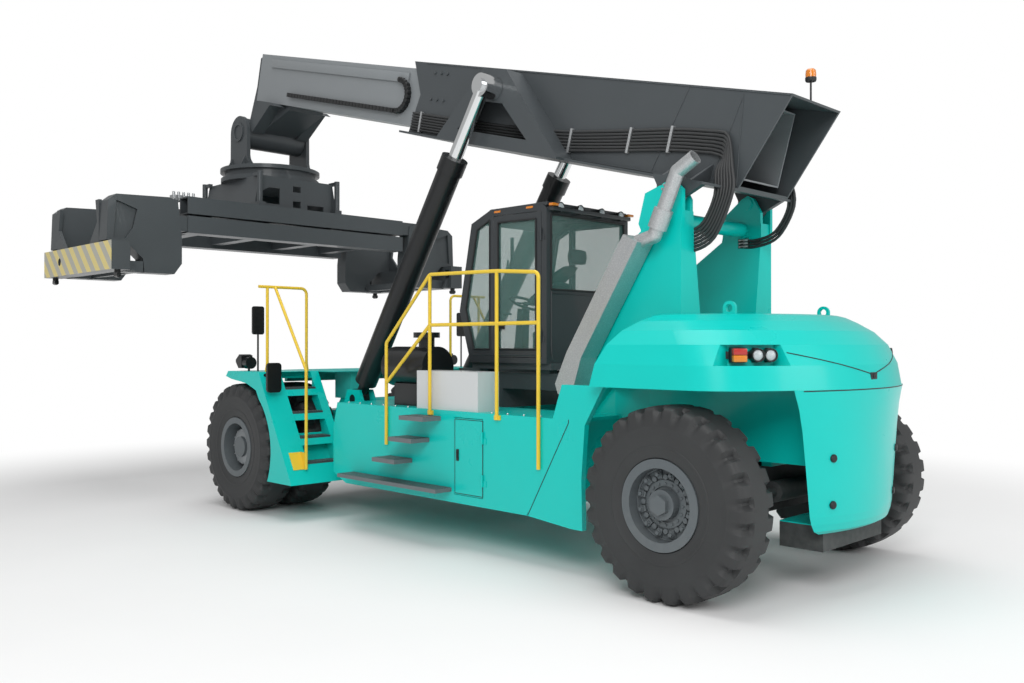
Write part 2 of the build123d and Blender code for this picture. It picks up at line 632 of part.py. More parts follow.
def mirrors():
    """Tall mirrors on poles above the fenders and low wide ones on arms behind the deck edge."""
    pieces = []
    for side in (-1, 1):
        y = side * 1750
        pole = rod((6300, y, DECK_TOP), (6300, y, 2330), 12)
        head = block(6285, 6315, y - 82, y + 82, 2262, 2626)
        pieces.append(pole + fillet(head.edges().filter_by(Axis.X), 30))
        y = side * 1870
        head = block(5690, 5725, y - 98, y + 98, 1540, 1907)
        arm = rod((5710, y, 1750), (panel_x(1750) + 5, y, 1750), 12)
        arm -= fender_back(y)
        flange = rod((panel_x(1750) - 16, y, 1750), (panel_x(1750) - 4, y, 1750), 22)
        pieces.append(fillet(head.edges().filter_by(Axis.X), 45) + arm + (flange - fender_back(y)))
    return pieces


def fender_back(y):
    """The solid behind the fender's leaning panel about y, to trim what seats on it."""
    return side_prism([(PANEL_LOW_X, FENDER_LOW), (7000, FENDER_LOW), (7000, DECK_TOP), (PANEL_TOP_X, DECK_TOP)],
                      y - 100, y + 100)


# ---- cab ----------------------------------------------------------------
CAB_OUTLINE = [(2200, 1930), (2200, 3580), (2260, 3630), (3050, 3650), (3380, 3515), (3585, 2520),
               (3400, 1930)]





def cab_solid(depth):
    """The cab's outer form, drawn in by depth on every side."""
    face = make_face(Polyline(*[(x, 0, z) for x, z in CAB_OUTLINE], close=True))
    if depth:
        face = offset(face, amount=-depth, kind=Kind.INTERSECTION)
    half = CAB_HALF - depth
    return extrude(Pos(0, -half, 0) * face, amount=2 * half, dir=(0, 1, 0))


DOOR_SHAPE = [(DOOR_REAR, 1990), (DOOR_REAR, 3560), (DOOR_FRONT, 3570), (DOOR_FRONT, 1990)]


def window_cutters():
    """Openings of the fixed windows: (name, cutter)."""
    front = side_prism([(3120, 3700), (3345, 3440), (3530, 2560), (3380, 2080), (3700, 2080),
                        (3700, 3700)], -CAB_HALF + 70, CAB_HALF - 70)
    roof = block(2700, 3000, -350, 350, 3600, 3700)
    rear = block(2150, 2250, -CAB_HALF + 70, CAB_HALF - 70, 2720, 3520)
    right = side_prism([(2290, 2150), (2290, 3520), (3020, 3530), (3020, 2150)], -CAB_HALF - 20, -CAB_HALF + 100)
    sides = []
    for y0, y1 in ((-CAB_HALF - 20, -CAB_HALF + 100), (CAB_HALF - 100, CAB_HALF + 20)):
        sides.append(side_prism([(3075, 2080), (3075, 3530), (3285, 3440), (3475, 2540), (3340, 2080)],
                                y0, y1))
    return [front, roof, rear, right, *sides]


def cab():
    """Hollow cab shell, its fixed panes, and the hinged left door with its pane."""
    wall = cab_solid(0) - cab_solid(CAB_WALL)
    pane = cab_solid(12) - cab_solid(12 + GLASS)
    cutters = window_cutters()
    door_hole = side_prism(DOOR_SHAPE, CAB_HALF - 100, CAB_HALF + 20)
    shell = wall - door_hole
    panes = []
    for cutter in cutters:
        shell -= cutter
        panes += (pane & cutter).solids()
    door_zone = side_prism([(DOOR_REAR + DOOR_GAP, 1990 + DOOR_GAP), (DOOR_REAR + DOOR_GAP, 3560 - DOOR_GAP),
                            (DOOR_FRONT - DOOR_GAP, 3570 - DOOR_GAP), (DOOR_FRONT - DOOR_GAP, 1990 + DOOR_GAP)],
                           CAB_HALF - 100, CAB_HALF + 20)
    door_window = side_prism([(DOOR_REAR + 80, 2080), (DOOR_REAR + 80, 3480), (DOOR_FRONT - 80, 3490),
                              (DOOR_FRONT - 80, 2080)], CAB_HALF - 100, CAB_HALF + 20)
    door = (wall & door_zone) - door_window
    for z in (2160, 3250):
        fixed, moving = hinge_halves(DOOR_REAR, CAB_HALF, z, 50)
        shell += fixed
        door += moving
    door_pane = pane & door_window
    return shell, panes, door, door_pane


def seat():
    """Operator's seat on its suspension box."""
    base = block(2480, 2860, -230, 230, 1930 + CAB_WALL, 2280)
    cushion = block(2440, 2920, -250, 250, 2280, 2400)
    back = side_prism([(2440, 2400), (2330, 3040), (2430, 3040), (2560, 2400)], -240, 240)
    head = block(2330, 2410, -130, 130, 3030, 3200)
    return base + cushion + back + head


def console():
    """Steering column, wheel and the right armrest console."""
    post = side_prism([(3200, 1930 + CAB_WALL), (3330, 1930 + CAB_WALL), (3260, 2560), (3180, 2540)], -60, 60)
    ring = Pos(3180, 0, 2620) * Rot(0, -25, 0) * Torus(190, 16)
    hub = rod((3215, 0, 2545), (3175, 0, 2630), 30)
    spoke = Pos(3180, 0, 2620) * Rot(0, -25, 0) * Box(20, 370, 14)
    arm = block(2560, 2960, -400, -290, 2420, 2480) + block(2700, 2780, -390, -300, 1930 + CAB_WALL, 2420)
    return [post + ring + hub + spoke, arm]


CAB_RUN = (1960, 4900)
CAB_BASE_LOW = 1830


def cab_rails():
    """Two channel rails on cross feet that carry the sliding cab."""
    pieces = []
    for side in (-1, 1):
        pieces.append(block(CAB_RUN[0], CAB_RUN[1], side * 520 - 45, side * 520 + 45, 1640, CAB_BASE_LOW - 10))
    whole = pieces[0] + pieces[1]
    for x in (2050, 3000, 3900, 4780):
        whole += block(x, x + 90, -565, 565, RAIL_TOP if x < 3650 else RAIL_TOP + 10, 1640)
    return whole


def cab_base():
    """Carriage under the cab that rides on the rails."""
    plate = block(2180, 3420, -640, 640, CAB_BASE_LOW + 30, 1930)
    for x in (2260, 3240):
        for side in (-1, 1):
            plate += block(x, x + 120, side * 520 - 60, side * 520 + 60, CAB_BASE_LOW - 9.5, CAB_BASE_LOW + 30)
    return plate


# ---- boom ---------------------------------------------------------------
def boom_outline():
    """Side outline of the outer boom section."""
    return [(OUTER_TAIL, BOOM_TOP), (-526, BOOM_LOW), (OUTER_TIP, BOOM_LOW), (OUTER_TIP - 120, 600),
            (OUTER_TIP + 100, BOOM_TOP)]


BRACKET_OUT = LIFT_Y - LIFT_BARREL_R - LIFT_COLLAR - 9


def boom_outer():
    """Outer boom: welded box open at both ends, pivot lugs, wide lower flange and lift brackets."""
    body = side_prism(boom_outline(), -BOOM_HALF, BOOM_HALF)
    body -= block(OUTER_TAIL - 300, OUTER_TIP + 300, -BOOM_HALF + BOOM_WALL, BOOM_HALF - BOOM_WALL,
                  BOOM_LOW + BOOM_WALL, BOOM_TOP - BOOM_WALL)
    body += plan_prism([(-526, -520), (900, -520), (1300, -600), (OUTER_TIP, -600), (OUTER_TIP, 600),
                        (1300, 600), (900, 520), (-526, 520)], BOOM_LOW - 25, BOOM_LOW)
    flange_low = BOOM_LOW - 25
    lug = side_prism([(-330, flange_low), (-240, 20), (-LUG_R, -40), (150, -40), (170, 20), (235, flange_low)],
                     LUG_IN, LUG_OUT) + rod((0, LUG_IN, 0), (0, LUG_OUT, 0), LUG_R)
    lug += plan_prism([(-480, BOOM_HALF), (-330, LUG_OUT), (235, LUG_OUT), (420, BOOM_HALF)], flange_low, BOOM_LOW)
    web = end_prism([(BOOM_HALF, BOOM_LOW), (LUG_OUT, BOOM_LOW), (BOOM_HALF, 300)], -12, 12)
    lug += Pos(-200, 0, 0) * web + Pos(120, 0, 0) * web
    body += lug + mirror(lug, Plane.XZ)
    body -= rod((0, -900, 0), (0, 900, 0), PIVOT_PIN_R + PIN_GAP)
    eye_u, eye_w = boom_local(LIFT_EYE_X, LIFT_EYE_Z)
    plate = [(eye_u + 870, BOOM_LOW), (eye_u + 250, eye_w + 220), (eye_u - 130, eye_w + 220),
             (eye_u - 1130, BOOM_LOW)]
    window = [(eye_u + 520, BOOM_LOW + 120), (eye_u + 160, eye_w - 150), (eye_u - 160, eye_w - 150),
              (eye_u - 640, BOOM_LOW + 120)]
    for side in (-1, 1):
        bracket = side_prism(plate, BRACKET_OUT - 35, BRACKET_OUT)
        bracket -= side_prism(window, BRACKET_OUT - 60, BRACKET_OUT + 20)
        for (u0, w0), (u1, w1) in ((plate[0], plate[1]), (plate[3], plate[2])):
            step = 30 if u0 < u1 else -30
            gusset = side_prism([(u0, w0), (u1, w1), (u1 + step, w1), (u0 + step, w0)],
                                BOOM_HALF, BRACKET_OUT)
            bracket += gusset
        bracket += side_prism([plate[1], (plate[1][0], plate[1][1] - 30), (plate[2][0], plate[2][1] - 30),
                               plate[2]], BOOM_HALF, BRACKET_OUT)
        bracket += block(plate[3][0], plate[0][0], BOOM_HALF, BRACKET_OUT, BOOM_LOW - 25, BOOM_LOW)
        if side < 0:
            bracket = mirror(bracket, Plane.XZ)
        body += bracket
    for u in (OUTER_TIP - 260,):
        for w0, w1 in ((BOOM_LOW + BOOM_WALL, INNER_LOW - SLIDE_GAP), (INNER_TOP + SLIDE_GAP, BOOM_TOP - BOOM_WALL)):
            body += block(u, u + 120, -INNER_HALF + 40, INNER_HALF - 40, w0, w1)
    return on_boom(body)


def boom_inner():
    """Inner boom: welded box with a side channel and a low hose tray on its left wall."""
    body = block(INNER_TAIL, INNER_TIP, -INNER_HALF, INNER_HALF, INNER_LOW, INNER_TOP)
    body -= block(INNER_TAIL - 10, INNER_TIP - 200, -INNER_HALF + INNER_WALL, INNER_HALF - INNER_WALL,
                  INNER_LOW + INNER_WALL, INNER_TOP - INNER_WALL)
    return on_boom(body)


def boom_head():
    """Boom head: cheeks with ribs that drop from the boom's end to the transverse tilt drum, and a nose arm."""
    tilt_u, tilt_w = boom_local(TILT_X, TILT_Z)
    drop = [(INNER_TIP, INNER_TOP), (INNER_TIP + 150, INNER_TOP - 60), (INNER_TIP + 150, 420),
            (tilt_u + TILT_R - 20, tilt_w + 60), (tilt_u, tilt_w + 60), (tilt_u - TILT_R, tilt_w + 60),
            (INNER_TIP - 900, INNER_LOW - 60), (INNER_TIP - 900, INNER_LOW), (INNER_TIP, INNER_LOW)]
    head = side_prism(drop, -INNER_HALF + 60, INNER_HALF - 60)
    head += rod((tilt_u, -TILT_HALF, tilt_w), (tilt_u, TILT_HALF, tilt_w), TILT_R)
    head += rod((tilt_u, -TILT_HALF - YOKE_WALL - 8, tilt_w), (tilt_u, TILT_HALF + YOKE_WALL + 8, tilt_w), 110)
    rib = [(INNER_TIP - 700, INNER_LOW - SLIDE_GAP), (INNER_TIP - 330, INNER_LOW - SLIDE_GAP),
           (tilt_u - TILT_R + 60, tilt_w + 160), (tilt_u - TILT_R - 60, tilt_w + 40)]
    for s in (-1, 1):
        y0, y1 = sorted((s * (INNER_HALF - 60), s * TILT_HALF))
        web = side_prism(rib, y0, y1)
        flange = side_prism([rib[0], rib[1], (rib[1][0] + 60, INNER_LOW - 40), (rib[0][0] - 120, INNER_LOW - 40)],
                            y0, y1)
        head += web + flange
    return on_boom(head)


# ---- lift cylinders -----------------------------------------------------
def lift_parts():
    """Left lift cylinder barrel and rod, along the line from foot pin to rod eye."""
    foot = Vector(LIFT_FOOT_X, LIFT_Y, LIFT_FOOT_Z)
    eye = Vector(LIFT_EYE_X, LIFT_Y, LIFT_EYE_Z)
    way = (eye - foot).normalized()

    def at(distance):
        p = foot + way * distance
        return (p.X, p.Y, p.Z)

    def pin(center, y0, y1, radius):
        return rod((center.X, y0, center.Z), (center.X, y1, center.Z), radius)

    barrel = rod(at(0), at(280), 68)
    barrel += rod(at(260), at(LIFT_BARREL_L), LIFT_BARREL_R)
    barrel += rod(at(LIFT_BARREL_L - 180), at(LIFT_BARREL_L), LIFT_BARREL_R + LIFT_COLLAR)
    barrel -= rod(at(320), at(LIFT_BARREL_L + 5), LIFT_ROD_R + PIN_GAP)
    barrel += pin(foot, LIFT_Y - 70, LIFT_Y + 70, 130)
    barrel += pin(foot, LIFT_Y - 108, LIFT_Y + 108, 59)
    rod_body = rod(at(1050), at((eye - foot).length - 60), LIFT_ROD_R)
    rod_body += pin(eye, BRACKET_OUT + 5, LIFT_Y + 65, 130)
    rod_body += pin(eye, BRACKET_OUT + 5, LIFT_Y + 95, 75)
    return barrel, rod_body


# ---- rotator and spreader ----------------------------------------------
def tilt_frame():
    """Yoke that hangs from the tilt drum: round-headed flared cheeks on the slew ring, damper brackets."""
    plate_low = RING_TOP
    eye_r, flare, waist = 255, 400, 5100
    frame = Pos(TILT_X, 0, plate_low + 30) * Cylinder(RING_R, 60)
    for side in (-1, 1):
        y0, y1 = TILT_HALF + 5, TILT_HALF + 5 + YOKE_WALL
        outline = [(TILT_X - eye_r, TILT_Z), (TILT_X + eye_r, TILT_Z), (TILT_X + eye_r + 5, waist)]
        for t in (0.35, 0.6, 0.8, 1.0):
            outline.append((TILT_X + eye_r + 5 + (flare - eye_r - 5) * t ** 2, waist - (waist - plate_low - 60) * t))
        outline += [(2 * TILT_X - x, z) for x, z in reversed(outline[2:])]
        cheek = side_prism(outline, y0, y1) + rod((TILT_X, y0, TILT_Z), (TILT_X, y1, TILT_Z), eye_r)
        cheek += rod((TILT_X, y1, TILT_Z), (TILT_X, y1 + 20, TILT_Z), 150)
        cheek -= rod((TILT_X, y0 - 5, TILT_Z), (TILT_X, y1 + 25, TILT_Z), 110 + PIN_GAP)
        for x in (-1, 1):
            cheek += end_prism([(y1, plate_low + 60), (y1 + 90, plate_low + 60), (y1, waist)],
                               TILT_X + x * 200 - 12, TILT_X + x * 200 + 12)
        if side < 0:
            cheek = mirror(cheek, Plane.XZ)
        frame += cheek
    frame += Pos(TILT_X, 0, plate_low - 45) * Cylinder(RING_R - 70, 90)
    return frame


TUBE_W = 260
UPPER = (3990, 4200)
LOWER = (3720, 3930)


def turntable():
    """Slewing part: ring, deep open box with side windows, and four corner posts."""
    top = RING_TOP - 90 - SEAT
    ring = Pos(TILT_X, 0, top - 35) * Cylinder(RING_R - 10, 70)
    ring -= Pos(TILT_X, 0, top - 35) * Cylinder(260, 80)
    low = UPPER[1] + 15 + PIN_GAP
    half_x, half_y = 790, 740
    box_outer = end_prism([(-half_y, low), (-half_y + 90, top - 70), (half_y - 90, top - 70), (half_y, low)],
                          TILT_X - half_x, TILT_X + half_x)
    box_inner = end_prism([(-half_y + 30, low - 10), (-half_y + 115, top - 110), (half_y - 115, top - 110),
                           (half_y - 30, low - 10)], TILT_X - half_x + 30, TILT_X + half_x - 30)
    shape = ring + (box_outer - box_inner)
    for y0, y1, z0, z1 in ((-70, 70, 4270, 4370), (-70, 70, 4510, 4600), (-490, -190, 4230, 4330)):
        shape -= block(TILT_X - 900, TILT_X + 900, y0, y1, z0, z1)
    arch = end_prism([(300, 4290), (680, 4290), (610, 4470), (480, 4540), (300, 4540)], TILT_X - 900, TILT_X + 900)
    shape -= arch
    for x in (-1, 1):
        for y in (-1, 1):
            corner = block(TILT_X + x * 780 - 150, TILT_X + x * 780 + 150, y * 680 - 60, y * 680 + 60, low, low + 70)
            post = rod((TILT_X + x * 870, y * 690, low), (TILT_X + x * 870, y * 690, top - 30), 42)
            shape += corner + post + block(TILT_X + x * 780 - 90, TILT_X + x * 780 + 90, y * 680 - 30,
                                           y * 680 + 30, top - 90, top - 40)
    return shape


def main_frame():
    """Spreader main frame: stacked pairs of housings tied by cross boxes."""
    whole = None
    for x in (TILT_X - BEAM_X, TILT_X + BEAM_X):
        for z0, z1 in (UPPER, LOWER):
            outer = block(x - TUBE_W / 2, x + TUBE_W / 2, -MAIN_HALF, MAIN_HALF, z0 - 15, z1 + 15)
            inner = block(x - TUBE_W / 2 + 18, x + TUBE_W / 2 - 18, -MAIN_HALF - 10, MAIN_HALF + 10, z0, z1)
            piece = outer - inner
            whole = piece if whole is None else whole + piece
    for y in (-1500, -560, 560, 1500):
        whole += block(TILT_X - BEAM_X + TUBE_W / 2, TILT_X + BEAM_X - TUBE_W / 2, y - 90, y + 90, 3760, 4160)
    return whole


END_IN, END_OUT = 2800, 3050
NECK_LOW = 3110


def arm_end(level):
    """Spreader arm on the left, its two sliding beams in one level of the housings.

    Each beam ends in a gooseneck box with an S-shaped inner edge and a flared open outer face;
    the end beam below them carries the twistlock corner boxes.
    """
    y_end = TWIST_Y / 2
    half = TWIST_X / 2
    arm = None
    for side in (-1, 1):
        x = TILT_X + side * BEAM_X
        beam = block(x - TUBE_W / 2 + 18 + SLIDE_GAP, x + TUBE_W / 2 - 18 - SLIDE_GAP, -1500, 2350,
                     level[0] + SLIDE_GAP, level[1] - SLIDE_GAP)
        neck = end_prism([(2050, UPPER[1] - 60), (2180, UPPER[1] - 30), (2900, UPPER[1] - 60), (3010, UPPER[1] - 150),
                          (3030, 3520), (2750, 3490), (2540, 3300), (2520, NECK_LOW), (2100, NECK_LOW),
                          (1990, 3260), (1990, 3600)], x - 130, x + 130)
        neck -= end_prism([(2620, 3960), (2900, 4060), (2940, 3560), (2780, 3560), (2680, 3700)],
                          x + side * 90, x + side * 200)
        inward = TILT_X + side * (BEAM_X - 130)
        flare = side_prism([(inward, 4080), (inward - side * 120, 4080), (inward - side * 60, 3780),
                            (inward - side * 330, 3500), (inward, 3500)], 2990, 3030)
        foot = end_prism([(2540, NECK_LOW), (2540, 3260), (2800, 3260), (2800, NECK_LOW)], x - 130, x + 130)
        piece = beam + neck + flare + foot
        arm = piece if arm is None else arm + piece
    arm += block(TILT_X - half - 110, TILT_X + half + 110, END_IN, END_OUT, NECK_LOW + 10, 3500)
    for side in (-1, 1):
        x = TILT_X + side * (half + 10)
        lower = end_prism([(2700, NECK_LOW + 10), (END_IN, NECK_LOW + 10), (END_IN, 3300)], x - 20, x + 20)
        arm += lower
        arm -= block(TILT_X + side * half - 55, TILT_X + side * half + 55, END_IN - 10, END_OUT - 40, 3290, 3440)
        arm -= rod((TILT_X + side * half, y_end, 3060), (TILT_X + side * half, y_end, 3300), 40 + PIN_GAP)
    arm += block(TILT_X - BEAM_X + 130, TILT_X + BEAM_X - 130, 2450, 2520, NECK_LOW + 20, 3240)
    arm -= rod((TILT_X + 620, END_OUT - 60, 3320), (TILT_X + 620, END_OUT + 10, 3320), 55)
    return arm


def twistlocks():
    """Left pair of twistlocks: collar, shank and tapered head."""
    y_end = TWIST_Y / 2
    locks = []
    for side in (-1, 1):
        x = TILT_X + side * TWIST_X / 2
        lock = rod((x, y_end, 3080), (x, y_end, 3250), 40)
        head = Pos(x, y_end, TWIST_TIP + 30) * Box(104, 56, 60)
        locks.append(lock + chamfer(head.edges().group_by(Axis.Z)[0], 18))
    return locks


# ---- build --------------------------------------------------------------
def main():
    os.makedirs("parts", exist_ok=True)
    rear_tyre, rear_rim = rear_wheel()
    front_tyres, front_rims = front_wheels()
    left_knuckle = knuckle()
    pairs = {"rear_tyre": rear_tyre, "rear_rim": rear_rim, "front_tyres": front_tyres,
             "front_rims": front_rims, "knuckle": left_knuckle}
    barrel, lift_rod = lift_parts()
    pairs["lift_barrel"] = barrel
    pairs["lift_rod"] = lift_rod
    pairs["twistlocks"] = twistlocks()
    for name, shape in pairs.items():
        shapes = shape if isinstance(shape, list) else [shape]
        save(f"{name}_left", shapes)
        save(f"{name}_right", [mirror(s, Plane.XZ) for s in shapes])
    save("spreader_arm_left", arm_end(LOWER))
    save("spreader_arm_right", mirror(arm_end(UPPER), Plane.XZ))
    frame = chassis()
    save("chassis_frame", frame)
    save("front_axle", front_axle())
    save("steer_axle", steer_axle())
    save("boom_towers", towers())
    lid, skirt = hood()
    save("engine_hood", lid)
    save("hood_skirt", skirt)
    save("engine_block", engine())
    save("counterweight", counterweight())
    tank, arch = side_boxes()
    right_tank = mirror(side_tank(), Plane.XZ)
    save("side_tanks", tank, right_tank, both(arch))
    save("locker_door", locker_door())
    left_fender, fender_side = fender()
    save("front_fenders", both(left_fender))
    save("fender_skirts", both(fender_side))
    save("front_deck", front_deck())
    save("walkways", walkways())
    save("handrails", handrails())
    save("exhaust_stack", exhaust())
    save("air_cleaner", air_cleaner())
    save("tool_box", tool_box())
    save("work_lamps", work_lamps())
    save("mirrors", mirrors())
    shell, panes, door, door_pane = cab()
    save("cab_shell", shell)
    save("cab_glass", panes)
    save("cab_door", door)
    save("cab_door_glass", door_pane)
    save("operator_seat", seat())
    save("cab_console", console())
    save("cab_rails", cab_rails())
    save("cab_carriage", cab_base())
    save("boom_outer", boom_outer())
    save("boom_inner", boom_inner())
    save("boom_head", boom_head())
    save("tilt_frame", tilt_frame())
    save("turntable", turntable())
    save("spreader_frame", main_frame())


main()
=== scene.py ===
import math

import bmesh
import bpy
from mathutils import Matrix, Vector


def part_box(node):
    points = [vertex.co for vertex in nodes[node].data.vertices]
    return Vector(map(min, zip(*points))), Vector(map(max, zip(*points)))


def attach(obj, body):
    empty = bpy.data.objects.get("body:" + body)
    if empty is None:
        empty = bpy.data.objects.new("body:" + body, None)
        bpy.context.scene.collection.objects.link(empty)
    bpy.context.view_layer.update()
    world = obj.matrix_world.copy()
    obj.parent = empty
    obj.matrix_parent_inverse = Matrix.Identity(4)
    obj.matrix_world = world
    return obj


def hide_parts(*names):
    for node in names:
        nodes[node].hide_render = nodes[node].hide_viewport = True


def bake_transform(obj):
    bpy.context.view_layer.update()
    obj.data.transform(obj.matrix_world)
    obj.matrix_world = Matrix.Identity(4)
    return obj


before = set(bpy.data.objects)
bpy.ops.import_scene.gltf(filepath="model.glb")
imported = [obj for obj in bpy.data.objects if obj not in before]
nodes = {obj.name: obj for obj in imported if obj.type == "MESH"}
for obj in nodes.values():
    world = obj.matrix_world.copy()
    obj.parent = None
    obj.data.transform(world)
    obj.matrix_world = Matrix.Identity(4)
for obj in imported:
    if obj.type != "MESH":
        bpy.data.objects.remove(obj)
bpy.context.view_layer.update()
scene = bpy.context.scene
scene.view_settings.view_transform = "Standard"

# ---- Where the machine stands -------------------------------------------
# A container handler on its six tyres. Every station below is in metres from the rear axle,
# on the floor, which is how such a machine is dimensioned; the frame gives the axle's place.
rear_tyre_low, rear_tyre_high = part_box("rear_tyre_left")
REAR_AXLE_X = (rear_tyre_low.x + rear_tyre_high.x) / 2


def at(x, y, z):
    """A place from the rear axle's station, in the model's frame."""
    return Vector((x + REAR_AXLE_X, y, z))


# ---- Camera -------------------------------------------------------------
# A person's eye level, off the left rear wheel, looking forward along the flank.
camera_data = bpy.data.cameras.new("camera")
camera_data.sensor_width = 36
camera_data.lens = 33.1
camera_data.clip_start, camera_data.clip_end = 0.1, 200
camera = bpy.data.objects.new("camera", camera_data)
scene.collection.objects.link(camera)
camera.location = at(-4.620, 7.972, 2.128)
heading, tilt = math.radians(44.773), math.radians(0.21)
look = Vector((math.cos(heading) * math.cos(tilt), -math.sin(heading) * math.cos(tilt), math.sin(tilt)))
camera.rotation_mode = "QUATERNION"
camera.rotation_quaternion = look.to_track_quat("-Z", "Y")
scene.camera = camera


# ---- Studio floor, room and lamps ---------------------------------------
# A matt white floor that keeps the machine's soft shadow and runs out into a plain white room,
# lit evenly by three large square soft boxes.
def linear(hex_value, alpha=1.0):
    """An sRGB hex colour as linear RGBA."""
    channels = [int(hex_value[i:i + 2], 16) / 255 for i in (0, 2, 4)]
    return tuple(c / 12.92 if c <= 0.04045 else ((c + 0.055) / 1.055) ** 2.4 for c in channels) + (alpha,)


def add(tree, kind, links=None, **settings):
    """One shader node: links maps an input's name or number to a value or to another node's output."""
    made = tree.nodes.new(kind)
    for key, value in settings.items():
        setattr(made, key, value)
    for key, value in (links or {}).items():
        if isinstance(value, bpy.types.NodeSocket):
            tree.links.new(value, made.inputs[key])
        else:
            made.inputs[key].default_value = value
    return made


def new_material(name):
    """An empty node material and its tree."""
    material = bpy.data.materials.new(name)
    material.use_nodes = True
    material.node_tree.nodes.clear()
    return material, material.node_tree


floor_finish, tree = new_material("matt_white_floor")
place = add(tree, "ShaderNodeTexCoord")
reach = add(tree, "ShaderNodeVectorMath", {0: place.outputs["Object"]}, operation="LENGTH")
fade = add(tree, "ShaderNodeMapRange", {"Value": reach.outputs["Value"], "From Min": 5.5, "From Max": 11.5},
           interpolation_type="SMOOTHSTEP")
ray = add(tree, "ShaderNodeLightPath")
seen = add(tree, "ShaderNodeMath", {0: ray.outputs["Is Camera Ray"], 1: ray.outputs["Is Glossy Ray"]},
           operation="MAXIMUM")
white_out = add(tree, "ShaderNodeMath", {0: fade.outputs[0], 1: seen.outputs[0]}, operation="MULTIPLY")
mottle = add(tree, "ShaderNodeTexNoise", {"Vector": place.outputs["Object"], "Scale": 0.35, "Detail": 3.0})
tint = add(tree, "ShaderNodeMix", {0: mottle.outputs["Fac"], 6: linear("E9E9E9"), 7: linear("F2F2F2")},
           data_type="RGBA")
matt = add(tree, "ShaderNodeBsdfDiffuse", {"Color": tint.outputs[2]})
glow = add(tree, "ShaderNodeEmission", {"Color": linear("FFFFFF"), "Strength": 1.0})
floor_mix = add(tree, "ShaderNodeMixShader", {0: white_out.outputs[0], 1: matt.outputs[0],
                                              2: glow.outputs[0]})
add(tree, "ShaderNodeOutputMaterial", {0: floor_mix.outputs[0]})
bm = bmesh.new()
bmesh.ops.create_circle(bm, cap_ends=True, segments=96, radius=90)
floor_mesh = bpy.data.meshes.new("floor")
bm.to_mesh(floor_mesh)
bm.free()
floor_mesh.materials.append(floor_finish)
floor = bpy.data.objects.new("floor", floor_mesh)
scene.collection.objects.link(floor)

world = bpy.data.worlds.new("white_room")
scene.world = world
world.use_nodes = True
tree = world.node_tree
tree.nodes.clear()
ray = add(tree, "ShaderNodeLightPath")
seen = add(tree, "ShaderNodeMath", {0: ray.outputs["Is Camera Ray"], 1: ray.outputs["Is Transmission Ray"]},
           operation="MAXIMUM")
room = add(tree, "ShaderNodeBackground", {"Color": linear("FFFFFF"), "Strength": 0.5})
white = add(tree, "ShaderNodeBackground", {"Color": linear("FFFFFF"), "Strength": 1.0})
room_mix = add(tree, "ShaderNodeMixShader", {0: seen.outputs[0], 1: room.outputs[0], 2: white.outputs[0]})
add(tree, "ShaderNodeOutputWorld", {0: room_mix.outputs[0]})

for name, place, aim, size, watts in (("key_box", at(-7, 12, 10), at(3, 0, 1.5), 7, 1150),
                                      ("top_box", at(3, 1, 15), at(3, 0, 0), 11, 900),
                                      ("rear_box", at(-12, -3, 7), at(0, 0, 1.5), 6, 420)):
    lamp_data = bpy.data.lights.new(name, "AREA")
    lamp_data.shape, lamp_data.size, lamp_data.energy = "SQUARE", size, watts
    lamp = bpy.data.objects.new(name, lamp_data)
    scene.collection.objects.link(lamp)
    lamp.location = place
    lamp.rotation_mode = "QUATERNION"
    lamp.rotation_quaternion = (aim - place).to_track_quat("-Z", "Y")

# ---- Painted structure --------------------------------------------------
# Chassis, towers, hood, weight, tanks, fenders and boom are welded steel plate and castings, sprayed
# with two-pack enamel over primer, so they look even and glossy with a faint orange peel.
def enamel(name, hex_value, rough, coat=0.3, peel_mm=4.0, peel=0.04, uneven=0.05, dust=0.0, film="9A9C98"):
    """Sprayed enamel: peel_mm is the orange peel's pitch, uneven the colour's drift, dust the low film."""
    material, tree = new_material(name)
    place = add(tree, "ShaderNodeTexCoord")
    cloud = add(tree, "ShaderNodeTexNoise", {"Vector": place.outputs["Object"], "Scale": 1.3, "Detail": 5.0,
                                             "Roughness": 0.62})
    base = linear(hex_value)
    deep = tuple(c * (1 - uneven * 2) for c in base[:3]) + (1.0,)
    tone = add(tree, "ShaderNodeMix", {0: cloud.outputs["Fac"], 6: deep, 7: base}, data_type="RGBA")
    split = add(tree, "ShaderNodeSeparateXYZ", {0: place.outputs["Object"]})
    low = add(tree, "ShaderNodeMapRange", {"Value": split.outputs["Z"], "From Min": 1.5, "From Max": 0.3,
                                           "To Min": 0.0, "To Max": dust})
    speck = add(tree, "ShaderNodeTexNoise", {"Vector": place.outputs["Object"], "Scale": 14.0, "Detail": 6.0})
    film_fac = add(tree, "ShaderNodeMath", {0: low.outputs[0], 1: speck.outputs["Fac"]}, operation="MULTIPLY")
    shown = add(tree, "ShaderNodeMix", {0: film_fac.outputs[0], 6: tone.outputs[2], 7: linear(film)},
                data_type="RGBA")
    dull = add(tree, "ShaderNodeMapRange", {"Value": cloud.outputs["Fac"], "From Min": 0.3, "From Max": 0.7,
                                            "To Min": rough * 0.85, "To Max": rough * 1.2})
    skin = add(tree, "ShaderNodeTexNoise", {"Vector": place.outputs["Object"], "Scale": 1000 / peel_mm,
                                            "Detail": 1.5})
    bump = add(tree, "ShaderNodeBump", {"Height": skin.outputs["Fac"], "Strength": peel, "Distance": 0.002})
    paint = add(tree, "ShaderNodeBsdfPrincipled", {"Base Color": shown.outputs[2],
                                                   "Roughness": dull.outputs[0],
                                                   "Coat Weight": coat, "Coat Roughness": 0.1,
                                                   "Specular IOR Level": 0.3,
                                                   "Normal": bump.outputs[0]})
    add(tree, "ShaderNodeOutputMaterial", {0: paint.outputs[0]})
    return material


def dress(material, *names):
    """Give CAD nodes their finish."""
    for name in names:
        nodes[name].data.materials.clear()
        nodes[name].data.materials.append(material)


